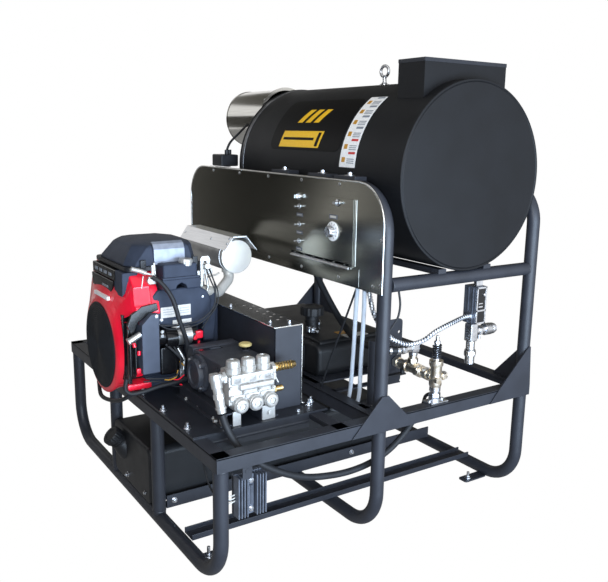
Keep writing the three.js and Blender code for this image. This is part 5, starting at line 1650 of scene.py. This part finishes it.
# ---------- pump ----------
def build_pump():
    x0, x1, y0, y1, z0, z1 = (PUMP[k] for k in ("x0", "x1", "y0", "y1", "z0", "z1"))
    case = [(y0 + 8, z0 + 0.4), (y1, z0 + 0.4), (y1, z1 - 6), (y1 - 8, z1 + 4), (y1 - 36, z1 + 4),
            (y1 - 44, z1),
            (y0 + 40, z1), (y0, z1 - 6), (y0, z0 + 10)]
    body = Solids().prism(case, "x", x0, x1, 4, 3)
    body.box(x0 - 1.5, x1 + 1.5, y1 - 46, y1 - 40, z0 + 4, z1 + 3, 1.4)
    for y in (y0 + 8, y0 + 22, y0 + 36, y0 + 50):
        body.box(x0 - 4, x0 + 2, y, y + 5, z0 + 8, z1 - 12, 1.4)
        body.box(x1 - 2, x1 + 4, y, y + 5, z0 + 8, z1 - 12, 1.4)
    for y in (y0 + 60, y0 + 110, y0 + 160):
        body.box(x0 + 8, x1 - 8, y, y + 5, z0 - 0.1, z0 + 6, 1)
    obj = make("pump_case", body, PUMP_BLACK, "black_paint", replaces=["pump_crankcase"])
    bore = Solids().rod((x0 - 5, PUMP["shaft_y"], PUMP["shaft_z"]),
                        (x1 + 5, PUMP["shaft_y"], PUMP["shaft_z"]), 14, chamfer=0)
    carve(obj, bore)
    at = (x0, PUMP["shaft_y"], PUMP["shaft_z"])
    cover = Solids().lathe([(0, 20), (26, 20), (28, 24), (39, 24), (41, 20), (43, 12), (50, 10), (52, 8),
                            (52, 0.4), (0, 0.4)],
                           at, -X_AXIS, 64)
    for k in range(4):
        turn = math.radians(45 + 90 * k)
        cover.rod((x0 - 0.4, at[1] + 47 * math.cos(turn), at[2] + 44 * math.sin(turn)),
                  (x0 - 16, at[1] + 47 * math.cos(turn), at[2] + 44 * math.sin(turn)), 9)
    make("pump_end_cover", cover, PUMP_BLACK, "black_paint", replaces=["pump_side_cover"])
    bolts = Solids()
    for k in range(4):
        turn = math.radians(45 + 90 * k)
        bolts.bolt((x0 - 16, at[1] + 47 * math.cos(turn), at[2] + 44 * math.sin(turn)), -X_AXIS, 4.6)
    make("pump_cover_bolts", bolts, ZINC, "zinc_plate")
    label = Solids().box(128, 196, 348, 366, z1 + 0.1, z1 + 0.8, 0.2)
    make("pump_plate_dark", label, GLOSS, "black_plastic")
    label = Solids().box(160, 192, 352, 362, z1 + 0.8, z1 + 1.3, 0.2)
    make("pump_plate_pale", label, GREY, "grey_metal")
    neck = Solids().rod((240, 300, z1 - 2), (240, 300, z1 + 3), 13)
    make("pump_filler_neck", neck, PUMP_BLACK, "black_paint")
    stem = Solids().lathe([(0, 3.3), (9, 3.3), (9, 10), (13, 12), (0, 13)], (240, 300, z1), Z_AXIS, 32)
    make("pump_cap_stem", stem, GLOSS, "black_plastic", body="pump_cap")
    cap = Solids().lathe([(0, 12), (16, 12), (18, 13.5), (18, 18), (15, 20.5), (0, 20.8)], (240, 300, z1),
                         Z_AXIS, 80,
                         ripple=lambda t: 1 - 0.04 * (math.cos(16 * t) > 0.5))
    make("pump_cap_body", cap, CAP_YELLOW, "yellow_plastic", body="pump_cap", replaces=["pump_oil_cap"])


def cast_cap(solids, at, direction, r, height):
    """Round cast cap with a sunk hexagon and a ring of notches."""
    profile = [(0, 0), (r, 0), (r, height - 5), (r - 1.8, height - 1.6), (r - 5, height), (r * 0.5, height),
               (r * 0.46, height - 4), (0, height - 4)]
    solids.lathe(profile, at, direction, 60, ripple=lambda t: 1 - 0.025 * (math.cos(12 * t) > 0.6))
    return solids.hexagon(Vector(at) + Vector(direction).normalized() * (height - 4), direction, r * 0.66,
                          2.4)


def build_manifold():
    y0, y1 = 112, 177.7
    cast = Solids().box(95, 225, y0 + 8, y1, 430, 506, 4)
    cast.box(100, 222, y0 + 2, y1 - 6, 486, 510, 3).box(98, 224, y0 + 4, y1, 440, 456, 3)
    cast.box(122, 222, y0 - 3, y0 + 12, 468, 484, 5, segments=3)
    cast.box(100, 226, y1 - 22, y1, 428, 516, 3)
    for x in (117, 160, 203):
        cast.rod((x, 140, 500), (x, 140, 522), 20)
        cast_cap(cast, (x, 140, 520), Z_AXIS, 18, 24)
        cast.ring([(17, -2), (20.5, -2), (20.5, 2), (17, 2)], (x, 140, 523), Z_AXIS, 40)
        cast.rod((x + 6, 160, 432), (x + 6, 104, 432), 20.5)
        cast_cap(cast, (x + 6, 112, 432), -Y_AXIS, 19, 15)
        cast.box(x - 14, x + 14, y0 + 2, y0 + 14, 484, 506, 4)
        cast.rod((x - 18, y0 + 10, 477), (x - 18, y0 + 1, 477), 4.5)
        cast.rod((x - 16, y0 + 10, 452), (x - 16, y0 - 1, 452), 6)
    for x in (138, 182, 222):
        cast.bolt((x, y0 + 5, 461), -Y_AXIS, 4.5)
        cast.bolt((x, y0 + 3, 497), -Y_AXIS, 4.5)
    cast.hexagon((225, 140, 505), X_AXIS, 27, 10).rod((224, 140, 446), (234, 140, 446), 12)
    cast.box(228, 236, 126, 134, 476, 490, 1).rod((234, 128, 484), (240, 122, 468), 2)
    cast.rod((226, 134, 478), (236, 134, 478), 6)
    make("pump_manifold_casting", cast, CAST, "cast_aluminium", replaces=["pump_manifold"])
    barbs = Solids().rod((235, 140, 505), (242, 140, 505), 12.5)
    profile = [(0, 0), (9.5, 0)]
    for k in range(6):
        profile += [(9.4, 8.5 * k + 1), (11.8, 8.5 * k + 3), (10.4, 8.5 * k + 8)]
    profile += [(8.5, 58), (0, 58)]
    barbs.lathe(profile, (242, 140, 505), X_AXIS, 28)
    barbs.hexagon((233, 140, 446), X_AXIS, 18, 8).rod((240, 140, 446), (262, 140, 446), 8.4)
    make("pump_barbs", barbs, BRASS_WARM, "brass")
    elbow = Solids().rod((95, 140, 500), (70, 140, 500), 12).hexagon((94, 140, 500), -X_AXIS, 28, 8)
    top, low = Vector((66, 140, 514)), Vector((74, 118, 418))
    heading = low - top
    elbow.rod(top, top + heading * 0.36, 14.5).rod(top + heading * 0.36, top + heading * 0.52, 12)
    elbow.hexagon(top + heading * 0.5, heading, 25, 13).rod(top + heading * 0.62, low, 12.4, 11.4)
    elbow.box(55, 80, 126, 153, 490, 515, 5, segments=3)
    elbow.ring([(10.5, 0), (14, 0), (14, 5), (10.5, 5)], top + heading * 0.84, heading, 32)
    make("outlet_elbow", elbow, CAST, "cast_aluminium", replaces=["discharge_elbow"])


def build_pump_mount():
    bright = Solids()
    z0, z1 = PLATE_TOP + 0.5, PUMP["z0"] - 1
    bright.box(204, 243, 142, 146.5, z0, z1 + 4, 1).bolt((224, 142, 383), -Y_AXIS, 6)
    bright.box(118, 141, 142, 146.5, z0, z1 + 4, 1)
    bright.box(94, 101, 150, 172, z0, z0 + 22, 1.5).rod((90, 154, z0 + 8), (104, 154, z0 + 8), 5)
    bright.bolt((92, 190, z0 + 2), Z_AXIS, 6)
    for y in (210, 380):
        bright.bolt((96, y, PLATE_TOP), Z_AXIS, 6, 4)
        bright.bolt((250, y, PLATE_TOP), Z_AXIS, 6, 4)
    make("pump_mount_bright", bright, CAST, "zinc_plate")
    feet = Solids().box(86, 101, 150, 430, PLATE_TOP, PLATE_TOP + 4, 0.8)
    feet.box(242, 257, 150, 430, PLATE_TOP, PLATE_TOP + 4, 0.8)
    feet.prism([(150, z0 + 4), (430, z0 + 4), (430, z1), (168, z1)], "x", 97.4, 100, 0.6)
    make("pump_mount_flanges", feet, POWDER, "black_powder_coat")


# ---------- moving parts kept from the CAD ----------
def build_kept():
    keep("drive_belt", RUBBER, 0.6)
    keep("crankshaft", STEEL, 0.6)
    keep("flywheel_fan", CAST, 0.8)
    keep("burner_fan", STAINLESS_ROUND, 0.5)
    keep("pump_pulley", CAST, 0.8)
    keep("heating_coil", STEEL, 0.4)
    keep("pump_rail_left", POWDER, 0.8)
    keep("pump_rail_right", POWDER, 0.8)


BUILDERS = (
    build_camera, build_studio, build_cords, build_loops, build_deck, build_hoops, build_cradle,
    build_lower_rails,
    build_plate, build_drum, build_decals, build_flue, build_eye, build_burner, build_panel, build_door,
    build_lower_tank, build_rear_tank, build_small_lines, build_unloader, build_junction_box,
    build_regulator,
    build_shroud, build_grille, build_air_cleaner, build_block, build_controls, build_throttle,
    build_exhaust,
    build_guard, build_pump, build_manifold, build_pump_mount, build_kept,
)
for build in BUILDERS:
    build()
